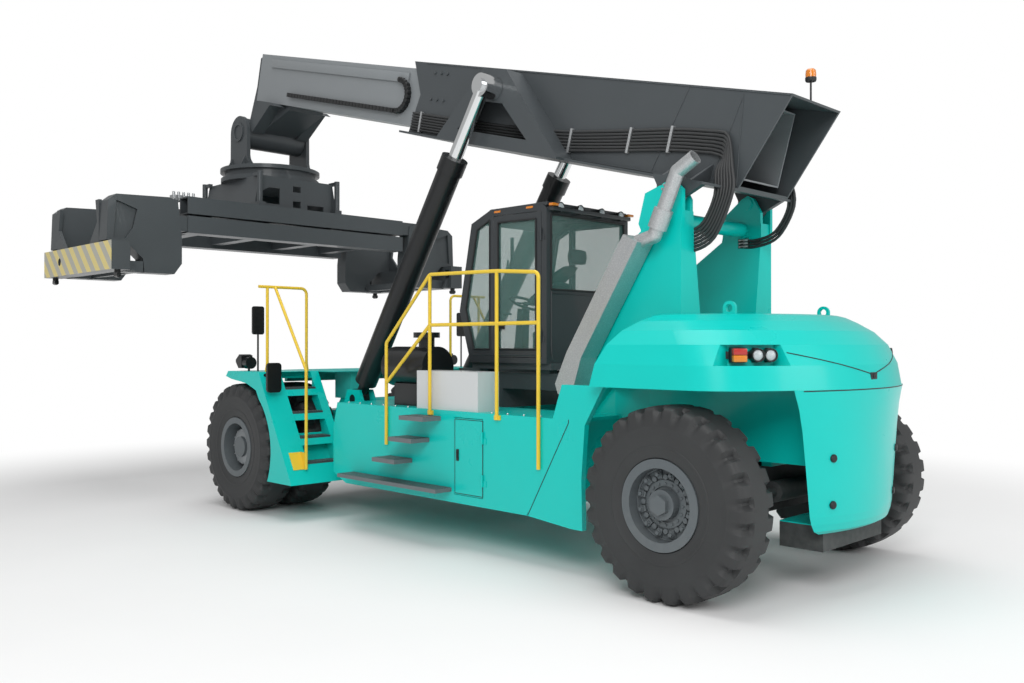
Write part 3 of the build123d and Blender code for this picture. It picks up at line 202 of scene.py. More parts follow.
teal_enamel = enamel("teal_gloss_enamel", "00CCC2", 0.3, coat=0.12, dust=0.04)
slate_enamel = enamel("slate_satin_enamel", "4B5053", 0.42, coat=0.12, uneven=0.07)
# pale grey: the drum covers' paint, and on the inner boom and its bar a lit copy of the slate paint as
# painted highlight
pale_and_lit_slate_enamel = enamel("pale_grey_and_lit_slate_enamel", "8C9194", 0.38, coat=0.2, uneven=0.07)
cab_enamel = enamel("cab_charcoal_enamel", "3A3E41", 0.33, coat=0.25)
yellow_enamel = enamel("safety_yellow_enamel", "EFCB3D", 0.34)
rim_enamel = enamel("wheel_grey_enamel", "5A6165", 0.45, coat=0.08, dust=0.2)
black_enamel = enamel("cylinder_black_enamel", "191B1D", 0.34, coat=0.25)
cast_paint = enamel("cast_iron_paint", "2E3234", 0.6, coat=0.0, peel_mm=9.0, peel=0.25, dust=0.3)
grate_grey = enamel("grating_grey_enamel", "6F7578", 0.5, coat=0.05)

dress(teal_enamel, "chassis_frame", "boom_towers", "engine_hood", "counterweight", "side_tanks",
      "locker_door", "front_fenders", "fender_skirts", "hood_skirt")
dress(slate_enamel, "boom_outer", "boom_head", "tilt_frame", "turntable", "spreader_frame",
      "cab_carriage", "cab_rails")
dress(cab_enamel, "cab_shell", "cab_door")
# the inner boom's pale grey is a painted highlight: the slate paint drawn lighter, as where light falls on it
dress(pale_and_lit_slate_enamel, "boom_inner")
dress(grate_grey, "walkways")
dress(yellow_enamel, "handrails")
dress(rim_enamel, "front_rims_left", "front_rims_right", "rear_rim_left", "rear_rim_right")
dress(black_enamel, "lift_barrel_left", "lift_barrel_right", "twistlocks_left", "twistlocks_right",
      "air_cleaner", "mirrors", "work_lamps")
dress(cast_paint, "front_axle", "steer_axle", "engine_block", "knuckle_left", "knuckle_right")

# ---- Tyres --------------------------------------------------------------
# Six 18.00-25 crane tyres of black rubber, moulded with 26 shoulder lugs a side that reach down
# the wall, a smooth bulged sidewall and a bead pressed on the rim's flange.
LUGS = 26
TYRE_R, TYRE_HALF = (rear_tyre_high.z - rear_tyre_low.z) / 2, (rear_tyre_high.y - rear_tyre_low.y) / 2


def put(name, bm, material, body, smooth=35):
    """Make a piece from a mesh under construction and let it ride on a body, or on none."""
    mesh = bpy.data.meshes.new(name)
    bmesh.ops.recalc_face_normals(bm, faces=bm.faces)
    bm.to_mesh(mesh)
    bm.free()
    mesh.shade_smooth()
    mesh.set_sharp_from_angle(angle=math.radians(smooth))
    mesh.materials.append(material)
    piece = bpy.data.objects.new(name, mesh)
    scene.collection.objects.link(piece)
    if body:
        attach(piece, body)
    return piece


def grid_faces(bm, rows, closed_rows=True, closed_columns=False):
    """Join rows of vertices into quads."""
    count, width = len(rows), len(rows[0])
    for i in range(count if closed_rows else count - 1):
        for j in range(width if closed_columns else width - 1):
            a, b = rows[i][j], rows[(i + 1) % count][j]
            c, d = rows[(i + 1) % count][(j + 1) % width], rows[i][(j + 1) % width]
            bm.faces.new((a, b, c, d))


rubber, tree = new_material("moulded_tyre_rubber")
# carbon-black rubber: near-black and dull, with a grey bloom on the wall and dust in the tread
place = add(tree, "ShaderNodeTexCoord")
bloom = add(tree, "ShaderNodeTexNoise", {"Vector": place.outputs["Object"], "Scale": 3.0, "Detail": 6.0})
tone = add(tree, "ShaderNodeMix", {0: bloom.outputs["Fac"], 6: linear("242526"), 7: linear("37393A")},
           data_type="RGBA")
grain = add(tree, "ShaderNodeTexNoise", {"Vector": place.outputs["Object"], "Scale": 180.0, "Detail": 3.0})
bump = add(tree, "ShaderNodeBump", {"Height": grain.outputs["Fac"], "Strength": 0.25, "Distance": 0.003})
dull = add(tree, "ShaderNodeMapRange", {"Value": bloom.outputs["Fac"], "To Min": 0.48, "To Max": 0.7})
skin = add(tree, "ShaderNodeBsdfPrincipled", {"Base Color": tone.outputs[2], "Roughness": dull.outputs[0],
                                              "Normal": bump.outputs[0]})
add(tree, "ShaderNodeOutputMaterial", {0: skin.outputs[0]})

# half section from bead to crown: radius, offset from the middle plane
WALL = [(0.334, 0.196), (0.352, 0.203), (0.381, 0.206), (0.392, 0.218), (0.405, 0.219), (0.43, 0.226),
        (0.47, 0.231), (0.474, 0.2335), (0.49, 0.2335), (0.494, 0.231), (0.545, 0.2395), (0.60, 0.2435),
        (0.64, 0.2435), (0.644, 0.2448), (0.655, 0.2448), (0.66, 0.243), (0.69, 0.241), (0.72, 0.238),
        (0.75, 0.233),
        (0.777, 0.226), (0.795, 0.212), (0.806, 0.19), (0.8105, 0.165), (0.8125, 0.13), (0.8138, 0.108),
        (0.8142, 0.096), (0.8146, 0.06), (0.815, 0.02)]
section = [(r, w) for r, w in WALL] + [(r, -w) for r, w in reversed(WALL)]


def lug_cut(angle, radius, offset):
    """How deep the mould cuts at a place: slots between lugs, half a pitch apart on the two shoulders."""
    turn = (angle * LUGS / (2 * math.pi) + (0.5 if offset < 0 else 0.0)) % 1.0
    across = abs(turn - 0.5) / 0.2
    slot = min(1.0, max(0.0, (1.0 - across) * 3.2))
    if radius >= 0.80:
        inward = min(1.0, max(0.0, (abs(offset) - 0.1) / 0.02))
        return slot * inward * 0.042
    return slot * min(1.0, max(0.0, (radius - 0.662) / 0.1)) * 0.036


def tyre_mesh(bm, x, y):
    """Add one tyre to the mesh."""
    steps = LUGS * 9
    rows = []
    for i in range(steps):
        angle = 2 * math.pi * i / steps
        row = []
        for r, w in section:
            cut = lug_cut(angle, r, w)
            lean = min(1.0, max(0.0, (r - 0.72) / 0.085))
            radius = r - cut * lean
            offset = w - math.copysign(cut * (1 - 0.55 * lean), w)
            row.append(bm.verts.new(at(x + radius * math.cos(angle), y + offset,
                                       TYRE_R + radius * math.sin(angle))))
        rows.append(row)
    grid_faces(bm, rows)
    for i in range(steps):
        a, b = rows[i], rows[(i + 1) % steps]
        bm.faces.new((a[-1], b[-1], b[0], a[0]))


front_low, front_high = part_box("front_tyres_left")
FRONT_AXLE = (front_low.x + front_high.x) / 2 - REAR_AXLE_X
OUTER_Y, INNER_Y = front_high.y - TYRE_HALF, front_low.y + TYRE_HALF
REAR_Y = (rear_tyre_low.y + rear_tyre_high.y) / 2
for side, word in ((1, "left"), (-1, "right")):
    for part, body, x, tracks in (("front", "front_wheels", FRONT_AXLE, (OUTER_Y, INNER_Y)),
                                  ("rear", "rear_wheel", 0.0, (REAR_Y,))):
        bm = bmesh.new()
        for y in tracks:
            tyre_mesh(bm, x, side * y)
        tyre = put(f"{part}_tread_{word}", bm, rubber, f"{body}_{word}", smooth=28)
        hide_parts(f"{part}_tyres_{word}" if part == "front" else f"{part}_tyre_{word}")

# ---- Wheel rims and hubs ------------------------------------------------
# Pressed steel discs in grey enamel. The steered wheels are held by clamps round a stepped hub, the
# drive wheels by a ring of zinc-plated nuts about the planetary drum.
zinc, tree = new_material("zinc_plated_steel")
# electro-zinc on turned steel: pale, slightly blue, with a soft uneven shine
place = add(tree, "ShaderNodeTexCoord")
cloud = add(tree, "ShaderNodeTexNoise", {"Vector": place.outputs["Object"], "Scale": 60.0, "Detail": 3.0})
dull = add(tree, "ShaderNodeMapRange", {"Value": cloud.outputs["Fac"], "To Min": 0.25, "To Max": 0.5})
metal = add(tree, "ShaderNodeBsdfPrincipled", {"Base Color": linear("B9BCBE"), "Metallic": 1.0,
                                               "Roughness": dull.outputs[0]})
add(tree, "ShaderNodeOutputMaterial", {0: metal.outputs[0]})


def lathe(bm, centre, axis, section, steps=48):
    """A turned ring or disc about an axis through centre, from (radius, height) points."""
    axis = Vector(axis).normalized()
    side = axis.orthogonal().normalized()
    other = axis.cross(side)
    rows = []
    for i in range(steps):
        turn = 2 * math.pi * i / steps
        out_way = side * math.cos(turn) + other * math.sin(turn)
        rows.append([bm.verts.new(centre + axis * h + out_way * max(r, 1e-5)) for r, h in section])
    grid_faces(bm, rows)


def bolt(bm, centre, axis, across, high, washer=1.35):
    """A hexagon head on its washer."""
    axis = Vector(axis).normalized()
    side = axis.orthogonal().normalized()
    other = axis.cross(side)
    lathe(bm, centre, axis, [(0, 0), (across * 0.58 * washer, 0), (across * 0.58 * washer, high * 0.2),
                             (0, high * 0.2)], 12)
    rows = []
    for h, r in ((high * 0.15, 1.0), (high * 0.85, 1.0), (high, 0.86)):
        rows.append([bm.verts.new(centre + axis * h
                                  + (side * math.cos(math.pi * k / 3) + other * math.sin(math.pi * k / 3))
                                  * across * 0.577 * r)
                     for k in range(6)])
    grid_faces(bm, rows, closed_rows=False, closed_columns=True)
    bm.faces.new(rows[-1])


for side, word in ((1, "left"), (-1, "right")):
    out_way = Vector((0, side, 0))
    # rear disc: double ring line, twelve clamps with studs, a round boss
    bm = bmesh.new()
    face = at(0, side * (REAR_Y + 0.104), TYRE_R)
    lathe(bm, face, out_way, [(0.306, -0.004), (0.306, 0.01), (0.298, 0.014), (0.29, 0.01), (0.29, -0.004)],
          72)
    lathe(bm, face, out_way, [(0.205, -0.004), (0.2, 0.016), (0.19, 0.02), (0.15, 0.02), (0.15, 0.0)], 64)
    for k in range(12):
        turn = 2 * math.pi * (k + 0.5) / 12
        way = Vector((math.cos(turn), 0, math.sin(turn)))
        along = Vector((-way.z, 0, way.x))
        rows = []
        for r, w, h in ((0.215, 0.024, 0.0), (0.215, 0.022, 0.02), (0.25, 0.03, 0.034), (0.285, 0.026, 0.018),
                        (0.285, 0.028, 0.0)):
            rows.append([bm.verts.new(face + way * r + along * s * w + out_way * h) for s in (-1, 1)])
        grid_faces(bm, rows, closed_rows=False)
        for s in (0, 1):
            bm.faces.new([row[s] for row in rows])
    put(f"rear_clamps_{word}", bm, rim_enamel, f"rear_wheel_{word}")
    bm = bmesh.new()
    for k in range(12):
        turn = 2 * math.pi * (k + 0.5) / 12
        bolt(bm, face + Vector((math.cos(turn), 0, math.sin(turn))) * 0.25 + out_way * 0.033, out_way, 0.034,
             0.026)
    for k in range(16):
        turn = 2 * math.pi * k / 16
        bolt(bm, face + Vector((math.cos(turn), 0, math.sin(turn))) * 0.172 + out_way * 0.02, out_way, 0.02,
             0.012)
    put(f"rear_studs_{word}", bm, rim_enamel, f"rear_wheel_{word}")
    # front disc: dark recess with its nuts and the planetary drum's cover
    bm = bmesh.new()
    face = at(FRONT_AXLE, side * (OUTER_Y - 0.046), TYRE_R)
    lathe(bm, face, out_way, [(0.302, -0.004), (0.302, 0.02), (0.29, 0.03), (0.284, 0.0)], 72)
    lathe(bm, face, out_way, [(0.236, 0.0), (0.236, 0.15), (0.228, 0.163), (0.2, 0.172), (0.12, 0.174),
                              (0.116, 0.168), (0.108, 0.168), (0.104, 0.176), (0.0, 0.178)], 64)
    put(f"drum_cover_{word}", bm, pale_and_lit_slate_enamel, f"front_wheels_{word}")
    bm = bmesh.new()
    for k in range(26):
        turn = 2 * math.pi * k / 26
        bolt(bm, face + Vector((math.cos(turn), 0, math.sin(turn))) * 0.262, out_way, 0.024, 0.03)
    for k in range(12):
        turn = 2 * math.pi * k / 12
        bolt(bm, face + Vector((math.cos(turn), 0, math.sin(turn))) * 0.212 + out_way * 0.17, out_way, 0.016,
             0.01)
    put(f"drive_nuts_{word}", bm, zinc, f"front_wheels_{word}")

# ---- Chrome, bright sheet and glass -------------------------------------
# Cylinder rods are ground and hard-chromed, the exhaust duct is bright aluminised sheet, the panes
# are thin green-tinted safety glass glued or clamped in rubber.
chrome, tree = new_material("hard_chrome")
# ground chrome: mirror-like with a fine drawn haze along the stroke
place = add(tree, "ShaderNodeTexCoord")
haze = add(tree, "ShaderNodeTexNoise", {"Vector": place.outputs["Object"], "Scale": 40.0, "Detail": 4.0})
dull = add(tree, "ShaderNodeMapRange", {"Value": haze.outputs["Fac"], "To Min": 0.07, "To Max": 0.2})
metal = add(tree, "ShaderNodeBsdfPrincipled", {"Base Color": linear("DFE1E2"), "Metallic": 1.0,
                                               "Roughness": dull.outputs[0]})
add(tree, "ShaderNodeOutputMaterial", {0: metal.outputs[0]})
dress(chrome, "lift_rod_left", "lift_rod_right")

bright_sheet, tree = new_material("aluminised_sheet")
# hot-dipped aluminised steel: pale grey, spangled, half matt
place = add(tree, "ShaderNodeTexCoord")
spangle = add(tree, "ShaderNodeTexVoronoi", {"Vector": place.outputs["Object"], "Scale": 90.0})
tone = add(tree, "ShaderNodeMix", {0: spangle.outputs["Distance"], 6: linear("A9ACAE"), 7: linear("C9CBCC")},
           data_type="RGBA")
dull = add(tree, "ShaderNodeMapRange", {"Value": spangle.outputs["Distance"], "To Min": 0.34, "To Max": 0.5})
metal = add(tree, "ShaderNodeBsdfPrincipled", {"Base Color": tone.outputs[2], "Metallic": 0.75,
                                               "Roughness": dull.outputs[0]})
add(tree, "ShaderNodeOutputMaterial", {0: metal.outputs[0]})
dress(bright_sheet, "exhaust_stack")
box_enamel = enamel("tool_box_white_enamel", "D4D7D8", 0.35)
dress(box_enamel, "tool_box")

glass, tree = new_material("tinted_safety_glass")
# green body-tinted glass: see-through from near, sky-bright at a glance
place = add(tree, "ShaderNodeTexCoord")
wave = add(tree, "ShaderNodeTexNoise", {"Vector": place.outputs["Object"], "Scale": 1.2, "Detail": 1.0})
bump = add(tree, "ShaderNodeBump", {"Height": wave.outputs["Fac"], "Strength": 0.06, "Distance": 0.05})
tone = add(tree, "ShaderNodeMix", {0: wave.outputs["Fac"], 6: linear("5C8580"), 7: linear("7FA39D")},
           data_type="RGBA")
pane = add(tree, "ShaderNodeBsdfPrincipled", {"Base Color": tone.outputs[2], "Roughness": 0.03, "IOR": 1.52,
                                              "Alpha": 0.3, "Normal": bump.outputs[0]})
add(tree, "ShaderNodeOutputMaterial", {0: pane.outputs[0]})
dress(glass, "cab_glass", "cab_door_glass")

moulded_black, tree = new_material("moulded_black_plastic")
# grained ABS and polyurethane: soft black with a fine leather-like stipple
place = add(tree, "ShaderNodeTexCoord")
stipple = add(tree, "ShaderNodeTexVoronoi", {"Vector": place.outputs["Object"], "Scale": 420.0})
bump = add(tree, "ShaderNodeBump", {"Height": stipple.outputs["Distance"], "Strength": 0.3,
                                    "Distance": 0.0015})
cloud = add(tree, "ShaderNodeTexNoise", {"Vector": place.outputs["Object"], "Scale": 6.0})
tone = add(tree, "ShaderNodeMix", {0: cloud.outputs["Fac"], 6: linear("141516"), 7: linear("222426")},
           data_type="RGBA")
plastic = add(tree, "ShaderNodeBsdfPrincipled", {"Base Color": tone.outputs[2], "Roughness": 0.5,
                                                 "Normal": bump.outputs[0]})
add(tree, "ShaderNodeOutputMaterial", {0: plastic.outputs[0]})
dress(moulded_black, "cab_console", "operator_seat")

# ---- Hood, lamps and rear fittings --------------------------------------
# A pressed steel cover over the cast weight: the dark seam round its lid, a lamp cluster in each
# shoulder pocket, a reversing camera, rubber plugs in the weight and dark paint on its keel.
def slab(bm, low, high, bevel=0.0):
    """A cuboid between two corners, its edges rounded by bevel."""
    low, high = Vector(low), Vector(high)
    made = bmesh.ops.create_cube(bm, size=1.0)["verts"]
    for v in made:
        v.co = Vector(((low.x + high.x) / 2 + v.co.x * (high.x - low.x),
                       (low.y + high.y) / 2 + v.co.y * (high.y - low.y),
                       (low.z + high.z) / 2 + v.co.z * (high.z - low.z)))
    if bevel:
        edges = list({e for v in made for e in v.link_edges})
        bmesh.ops.bevel(bm, geom=edges, offset=bevel, segments=2, profile=0.6, affect="EDGES",
                        clamp_overlap=True)


def bar(bm, start, end, radius, sides=14, end_radius=None):
    """A round bar between two points."""
    start, end = Vector(start), Vector(end)
    high = (end - start).length
    last = radius if end_radius is None else end_radius
    lathe(bm, start, end - start, [(0, 0), (radius, 0), (last, high), (0, high)], sides)


def smooth_path(points, step=0.03):
    """Places along a rounded line through the points."""
    path = []
    ends = [points[0] * 2 - points[1]] + list(points) + [points[-1] * 2 - points[-2]]
    for a, b, c, d in zip(ends, ends[1:], ends[2:], ends[3:]):
        count = max(3, int((c - b).length / step))
        for i in range(count):
            t = i / count
            path.append(0.5 * (b * 2 + (c - a) * t + (a * 2 - b * 5 + c * 4 - d) * t * t
                               + (b * 3 - a - c * 3 + d) * t * t * t))
    path.append(points[-1])
    return path


def hose(bm, points, radius, sides=9, step=0.04):
    """A round tube along a rounded line through the points, closed at both ends."""
    path = smooth_path([Vector(p) for p in points], step)
    way = (path[1] - path[0]).normalized()
    side = way.orthogonal().normalized()
    rows = []
    for i, place in enumerate(path):
        ahead = (path[min(i + 1, len(path) - 1)] - path[max(i - 1, 0)]).normalized()
        side = (side - ahead * side.dot(ahead)).normalized()
        other = ahead.cross(side)
        rows.append([bm.verts.new(place + (side * math.cos(2 * math.pi * k / sides)
                                           + other * math.sin(2 * math.pi * k / sides)) * radius)
                     for k in range(sides)])
    grid_faces(bm, rows, closed_rows=False, closed_columns=True)
    bm.faces.new(rows[0])
    bm.faces.new(rows[-1])


def lens_material(name, hex_value):
    """Moulded acrylic lamp lens: clear-coated colour over fine prisms."""
    material, tree = new_material(name)
    place = add(tree, "ShaderNodeTexCoord")
    prism = add(tree, "ShaderNodeTexVoronoi", {"Vector": place.outputs["Object"], "Scale": 240.0})
    bump = add(tree, "ShaderNodeBump", {"Height": prism.outputs["Distance"], "Strength": 0.5,
                                        "Distance": 0.002})
    deep = tuple(c * 0.7 for c in linear(hex_value)[:3]) + (1.0,)
    tone = add(tree, "ShaderNodeMix", {0: prism.outputs["Distance"], 6: linear(hex_value), 7: deep},
               data_type="RGBA")
    lens = add(tree, "ShaderNodeBsdfPrincipled", {"Base Color": tone.outputs[2], "Roughness": 0.12,
                                                  "Coat Weight": 0.8, "Normal": bump.outputs[0]})
    add(tree, "ShaderNodeOutputMaterial", {0: lens.outputs[0]})
    return material


red_lens = lens_material("red_acrylic_lens", "C32420")
amber_lens = lens_material("amber_acrylic_lens", "F08A12")
clear_lens = lens_material("clear_lamp_glass", "C9D2D6")

def skin_at(name, y, z):
    """The rear face of a CAD node at one height and offset."""
    node = nodes[name]
    back = node.matrix_world.inverted()
    found, spot, _, _ = node.ray_cast(back @ at(-3, y, z), back.to_3x3() @ Vector((1, 0, 0)))
    return node.matrix_world @ spot if found else None


# lamp cluster on the back wall of each shoulder pocket, and rubber plugs in the weight
for side, word in ((1, "left"), (-1, "right")):
    wall = at(-0.533, side * 1.205, 2.045)
    ahead, out, up = Vector((0.573, side * 0.819, 0)), Vector((-0.819, side * 0.573, 0)), Vector((0, 0, 1))

    def on_wall(bm, low, high, bevel=0.01):
        """A cuboid square to the pocket's wall: along it, out of it, up it."""
        before = set(bm.verts)
        slab(bm, low, high, bevel)
        for v in set(bm.verts) - before:
            v.co = wall + ahead * v.co.x + out * v.co.y + up * v.co.z

    bm = bmesh.new()
    on_wall(bm, (-0.235, 0.0, -0.03), (0.20, 0.012, 0.03), 0.004)
    for along_wall in (-0.045, -0.155):
        lathe(bm, wall + ahead * along_wall, out, [(0, 0), (0.052, 0), (0.055, 0.10), (0.048, 0.10),
                                                   (0.046, 0.085), (0, 0.085)], 28)
        on_wall(bm, (along_wall - 0.02, 0.0, -0.06), (along_wall + 0.02, 0.06, 0.06), 0.008)
    on_wall(bm, (0.045, 0.0, -0.062), (0.175, 0.062, 0.062), 0.012)
    put(f"tail_lamp_bodies_{word}", bm, moulded_black, "chassis")
    bm = bmesh.new()
    on_wall(bm, (0.052, 0.05, -0.055), (0.168, 0.10, 0.0), 0.008)
    put(f"tail_lamp_amber_{word}", bm, amber_lens, "chassis")
    bm = bmesh.new()
    on_wall(bm, (0.052, 0.05, 0.002), (0.168, 0.10, 0.055), 0.008)
    put(f"tail_lamp_red_{word}", bm, red_lens, "chassis")
    bm = bmesh.new()
    for along_wall in (-0.045, -0.155):
        lathe(bm, wall + ahead * along_wall + out * 0.084, out, [(0, 0), (0.045, 0), (0.034, 0.008),
                                                                 (0, 0.012)], 28)
    put(f"tail_lamp_clear_{word}", bm, clear_lens, "chassis")
    bm = bmesh.new()
    for y, z in ((0.60, 1.19), (0.58, 0.80)):
        spot = skin_at("counterweight", side * y, z)
        lathe(bm, spot, (-1, side * 0.3, 0), [(0, -0.02), (0.034, -0.02), (0.034, 0.012), (0.026, 0.02),
                                              (0, 0.02)], 20)
    put(f"weight_plugs_{word}", bm, moulded_black, "chassis")

# the lid's seam over the skirt, and a black strip along the gap between the cover and the weight as a painted
# shadow
bm = bmesh.new()
hose(bm, [skin_at("hood_skirt", y / 20, 1.875 + 0.2 * abs(y / 20 - 0.05)) for y in range(-20, 21)], 0.005,
     sides=6)
# painted shadow: a black strip where the cover overhangs the weight, not a part
hose(bm, [skin_at("counterweight", y / 20, 1.752) + Vector((0.002, 0, 0)) for y in range(-19, 20)], 0.006,
     sides=6)
put("hood_seam_and_painted_gap_shadow", bm, moulded_black, "chassis")

# dark casting paint on the keel under the weight, to 10 mm below the keel's top
bm = bmesh.new()
slab(bm, at(-0.8515, -0.5615, 0.3885), at(-0.4485, 0.5615, 0.6))
put("keel_coat", bm, cast_paint, "chassis")
bm = bmesh.new()
cam_at = at(-1.03, 0.035, 1.86)
slab(bm, cam_at + Vector((-0.028, -0.06, -0.032)), cam_at + Vector((0.06, 0.06, 0.032)), 0.008)
lathe(bm, cam_at + Vector((-0.02, 0, 0)), (-1, 0, 0), [(0, 0), (0.024, 0), (0.024, 0.012), (0.016, 0.014),
                                                       (0.0, 0.01)], 24)
put("reversing_camera", bm, moulded_black, "chassis")

# ---- Flank tanks and their locker ---------------------------------------
# Folded plate tanks with a flush locker door: its gasket and paddle lock, the raked joint to the
# wheel arch panel, and a row of bolts along each tank's top.
FLANK_Y = 1.5
for side, word in ((1, "left"), (-1, "right")):
    bm = bmesh.new()
    y = side * FLANK_Y
    seam = [at(1.165, y + side * 0.001, 1.409), at(1.688, y + side * 0.001, 0.495)]
    hose(bm, seam, 0.004, sides=6, step=0.5)
    hose(bm, [at(1.165, y + side * 0.001, 1.409), at(1.165, y + side * 0.001, 1.44)], 0.004, sides=6,
         step=0.5)
    put(f"panel_seam_{word}", bm, moulded_black, "chassis")
    bm = bmesh.new()
    for k in range(16):
        bolt(bm, at(1.35 + k * 0.225, side * (FLANK_Y - 0.06), 1.44), (0, 0, 1), 0.018, 0.012)
    put(f"tank_top_bolts_{word}", bm, zinc, "chassis")
bm = bmesh.new()
low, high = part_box("locker_door")
inset = 0.012
for a, b in (((low.x + inset, high.z - inset), (high.x - inset, high.z - inset)),
             ((high.x - inset, high.z - inset), (high.x - inset, low.z + inset)),
             ((high.x - inset, low.z + inset), (low.x + inset, low.z + inset)),
             ((low.x + inset, low.z + inset), (low.x + inset, high.z - inset))):
    hose(bm, [Vector((a[0], 1.5025, a[1])), Vector((b[0], 1.5025, b[1]))], 0.004, sides=6, step=1.0)
put("locker_gasket", bm, moulded_black, "locker")
bm = bmesh.new()
slab(bm, (high.x - 0.075, FLANK_Y, 0.93), (high.x - 0.04, 1.515, 1.05), 0.006)
slab(bm, (high.x - 0.068, 1.512, 0.96), (high.x - 0.047, 1.522, 1.03), 0.004)
put("locker_paddle", bm, moulded_black, "locker")

# ---- Steps and walkways ---------------------------------------------------
# Serrated bar grating welded in angle frames: the open squares painted near-black as painted shade seen
# through them, with a bright worn edge.
grating, tree = new_material("galvanised_bar_grating")
# hot-dip grey bars over openings painted dark as painted shade, the pitch 34 mm as on walkway grating
place = add(tree, "ShaderNodeTexCoord")
# Color1 and Color2 are painted shade for the holes; Mortar is the bars' own grey
cells = add(tree, "ShaderNodeTexBrick", {"Vector": place.outputs["Object"], "Color1": linear("17191A"),
                                         "Color2": linear("1D2021"), "Mortar": linear("83898C"), "Scale": 1.0,
                                         "Mortar Size": 0.005, "Mortar Smooth": 0.1, "Brick Width": 0.034,
                                         "Row Height": 0.034}, offset=0.0)
bump = add(tree, "ShaderNodeBump", {"Height": cells.outputs["Fac"], "Strength": 0.9, "Distance": 0.01})
bars = add(tree, "ShaderNodeBsdfPrincipled", {"Base Color": cells.outputs["Color"], "Roughness": 0.55,
                                              "Metallic": 0.3, "Normal": bump.outputs[0]})
add(tree, "ShaderNodeOutputMaterial", {0: bars.outputs[0]})
chequer, tree = new_material("chequer_plate_enamel")
# rolled chequer plate under enamel: short raised lozenges every 28 mm, grit-dulled
place = add(tree, "ShaderNodeTexCoord")
lozenge = add(tree, "ShaderNodeTexMagic", {"Vector": place.outputs["Object"], "Scale": 36.0,
                                           "Distortion": 1.0},
              turbulence_depth=1)
bump = add(tree, "ShaderNodeBump", {"Height": lozenge.outputs["Fac"], "Strength": 0.5, "Distance": 0.003})
worn = add(tree, "ShaderNodeMix", {0: lozenge.outputs["Fac"], 6: linear("10B4AC"), 7: linear("3FC9C1")},
           data_type="RGBA")
plate = add(tree, "ShaderNodeBsdfPrincipled", {"Base Color": worn.outputs[2], "Roughness": 0.5,
                                               "Normal": bump.outputs[0]})
add(tree, "ShaderNodeOutputMaterial", {0: plate.outputs[0]})
dress(chequer, "front_deck")

STEPS = (("step_top", 2.97, 0.40, 1.33, 0.045, 0.25), ("step_middle", 3.16, 0.40, 1.09, 0.045, 0.25),
         ("step_low", 3.45, 0.40, 0.845, 0.045, 0.25), ("side_walk", 2.80, 1.76, 0.60, 0.04, 0.22))
for name, x, long, z, high, wide in STEPS:
    bm = bmesh.new()
    slab(bm, at(x + 0.012, 1.502, z + high - 0.012), at(x + long - 0.012, FLANK_Y + wide - 0.012,
                                                        z + high + 0.002))
    put(f"{name}_grating", bm, grating, "chassis")
bm = bmesh.new()
slab(bm, at(2.812, -1.5 - 0.208, 0.628), at(4.548, -1.502, 0.642))
put("side_walk_right_grating", bm, grating, "chassis")
# the fender's four steps, each a tread with a lip, stand back as they rise
FENDER_STEP_Z, FENDER_STEP_RISE, FENDER_LEAN = 0.69, 0.298, 0.571
for side, word in ((1, "left"), (-1, "right")):
    treads, lips = bmesh.new(), bmesh.new()
    y0, y1 = sorted((side * 1.2, side * 1.64))
    for k in range(4):
        z = FENDER_STEP_Z + k * FENDER_STEP_RISE
        x = 5.175 + (z - 0.45) * FENDER_LEAN
        slab(treads, at(x + 0.02, y0 + 0.004, z + 0.001), at(x + 0.165, y1 - 0.004, z + 0.006))
        slab(lips, at(x - 0.012, y0, z - 0.022), at(x + 0.03, y1, z + 0.004), 0.004)
    put(f"fender_step_treads_{word}", treads, grating, "chassis")
    put(f"fender_step_lips_{word}", lips, slate_enamel, "chassis")

# ---- Cab trim -------------------------------------------------------------
# A bolted steel cab on rubber mounts: black window rubber, a door handle, a roof header with round
# work lamps and amber markers, one wiper and a cloth-covered seat.
def window_rubber(bm, corners, radius):
    """Glazing rubber in straight runs from corner to corner, closed."""
    for a, b in zip(corners, corners[1:] + corners[:1]):
        hose(bm, [a, b], radius, sides=8, step=2.0)


DOOR_Y = 0.69
bm = bmesh.new()
ring = [at(x, DOOR_Y + 0.003, z) for x, z in ((2.355, 2.08), (2.355, 3.48), (2.94, 3.49), (2.94, 2.08))]
window_rubber(bm, ring, 0.011)
put("door_window_rubber", bm, moulded_black, "door")
for side, word in ((1, "left"), (-1, "right")):
    bm = bmesh.new()
    ring = [at(x, side * (DOOR_Y + 0.001), z) for x, z in ((3.075, 2.08), (3.075, 3.53), (3.285, 3.44),
                                                           (3.475, 2.54),
                                                         (3.34, 2.08))]
    window_rubber(bm, ring, 0.01)
    put(f"quarter_rubber_{word}", bm, moulded_black, "cab")
bm = bmesh.new()
ring = [at(2.198, y, z) for y, z in ((-0.62, 2.72), (-0.62, 3.52), (0.62, 3.52), (0.62, 2.72))]
window_rubber(bm, ring, 0.011)
ring = [at(x, -DOOR_Y - 0.001, z) for x, z in ((2.29, 2.15), (2.29, 3.52), (3.02, 3.53), (3.02, 2.15))]
window_rubber(bm, ring, 0.01)
put("rear_window_rubber", bm, moulded_black, "cab")
bm = bmesh.new()
slab(bm, at(2.83, DOOR_Y, 2.30), at(2.99, DOOR_Y + 0.01, 2.36), 0.004)
hose(bm, [at(2.85, DOOR_Y + 0.005, 2.33), at(2.86, DOOR_Y + 0.016, 2.33), at(2.96, DOOR_Y + 0.016, 2.33),
          at(2.97, DOOR_Y + 0.005, 2.33)], 0.009)
put("door_handle", bm, moulded_black, "door")
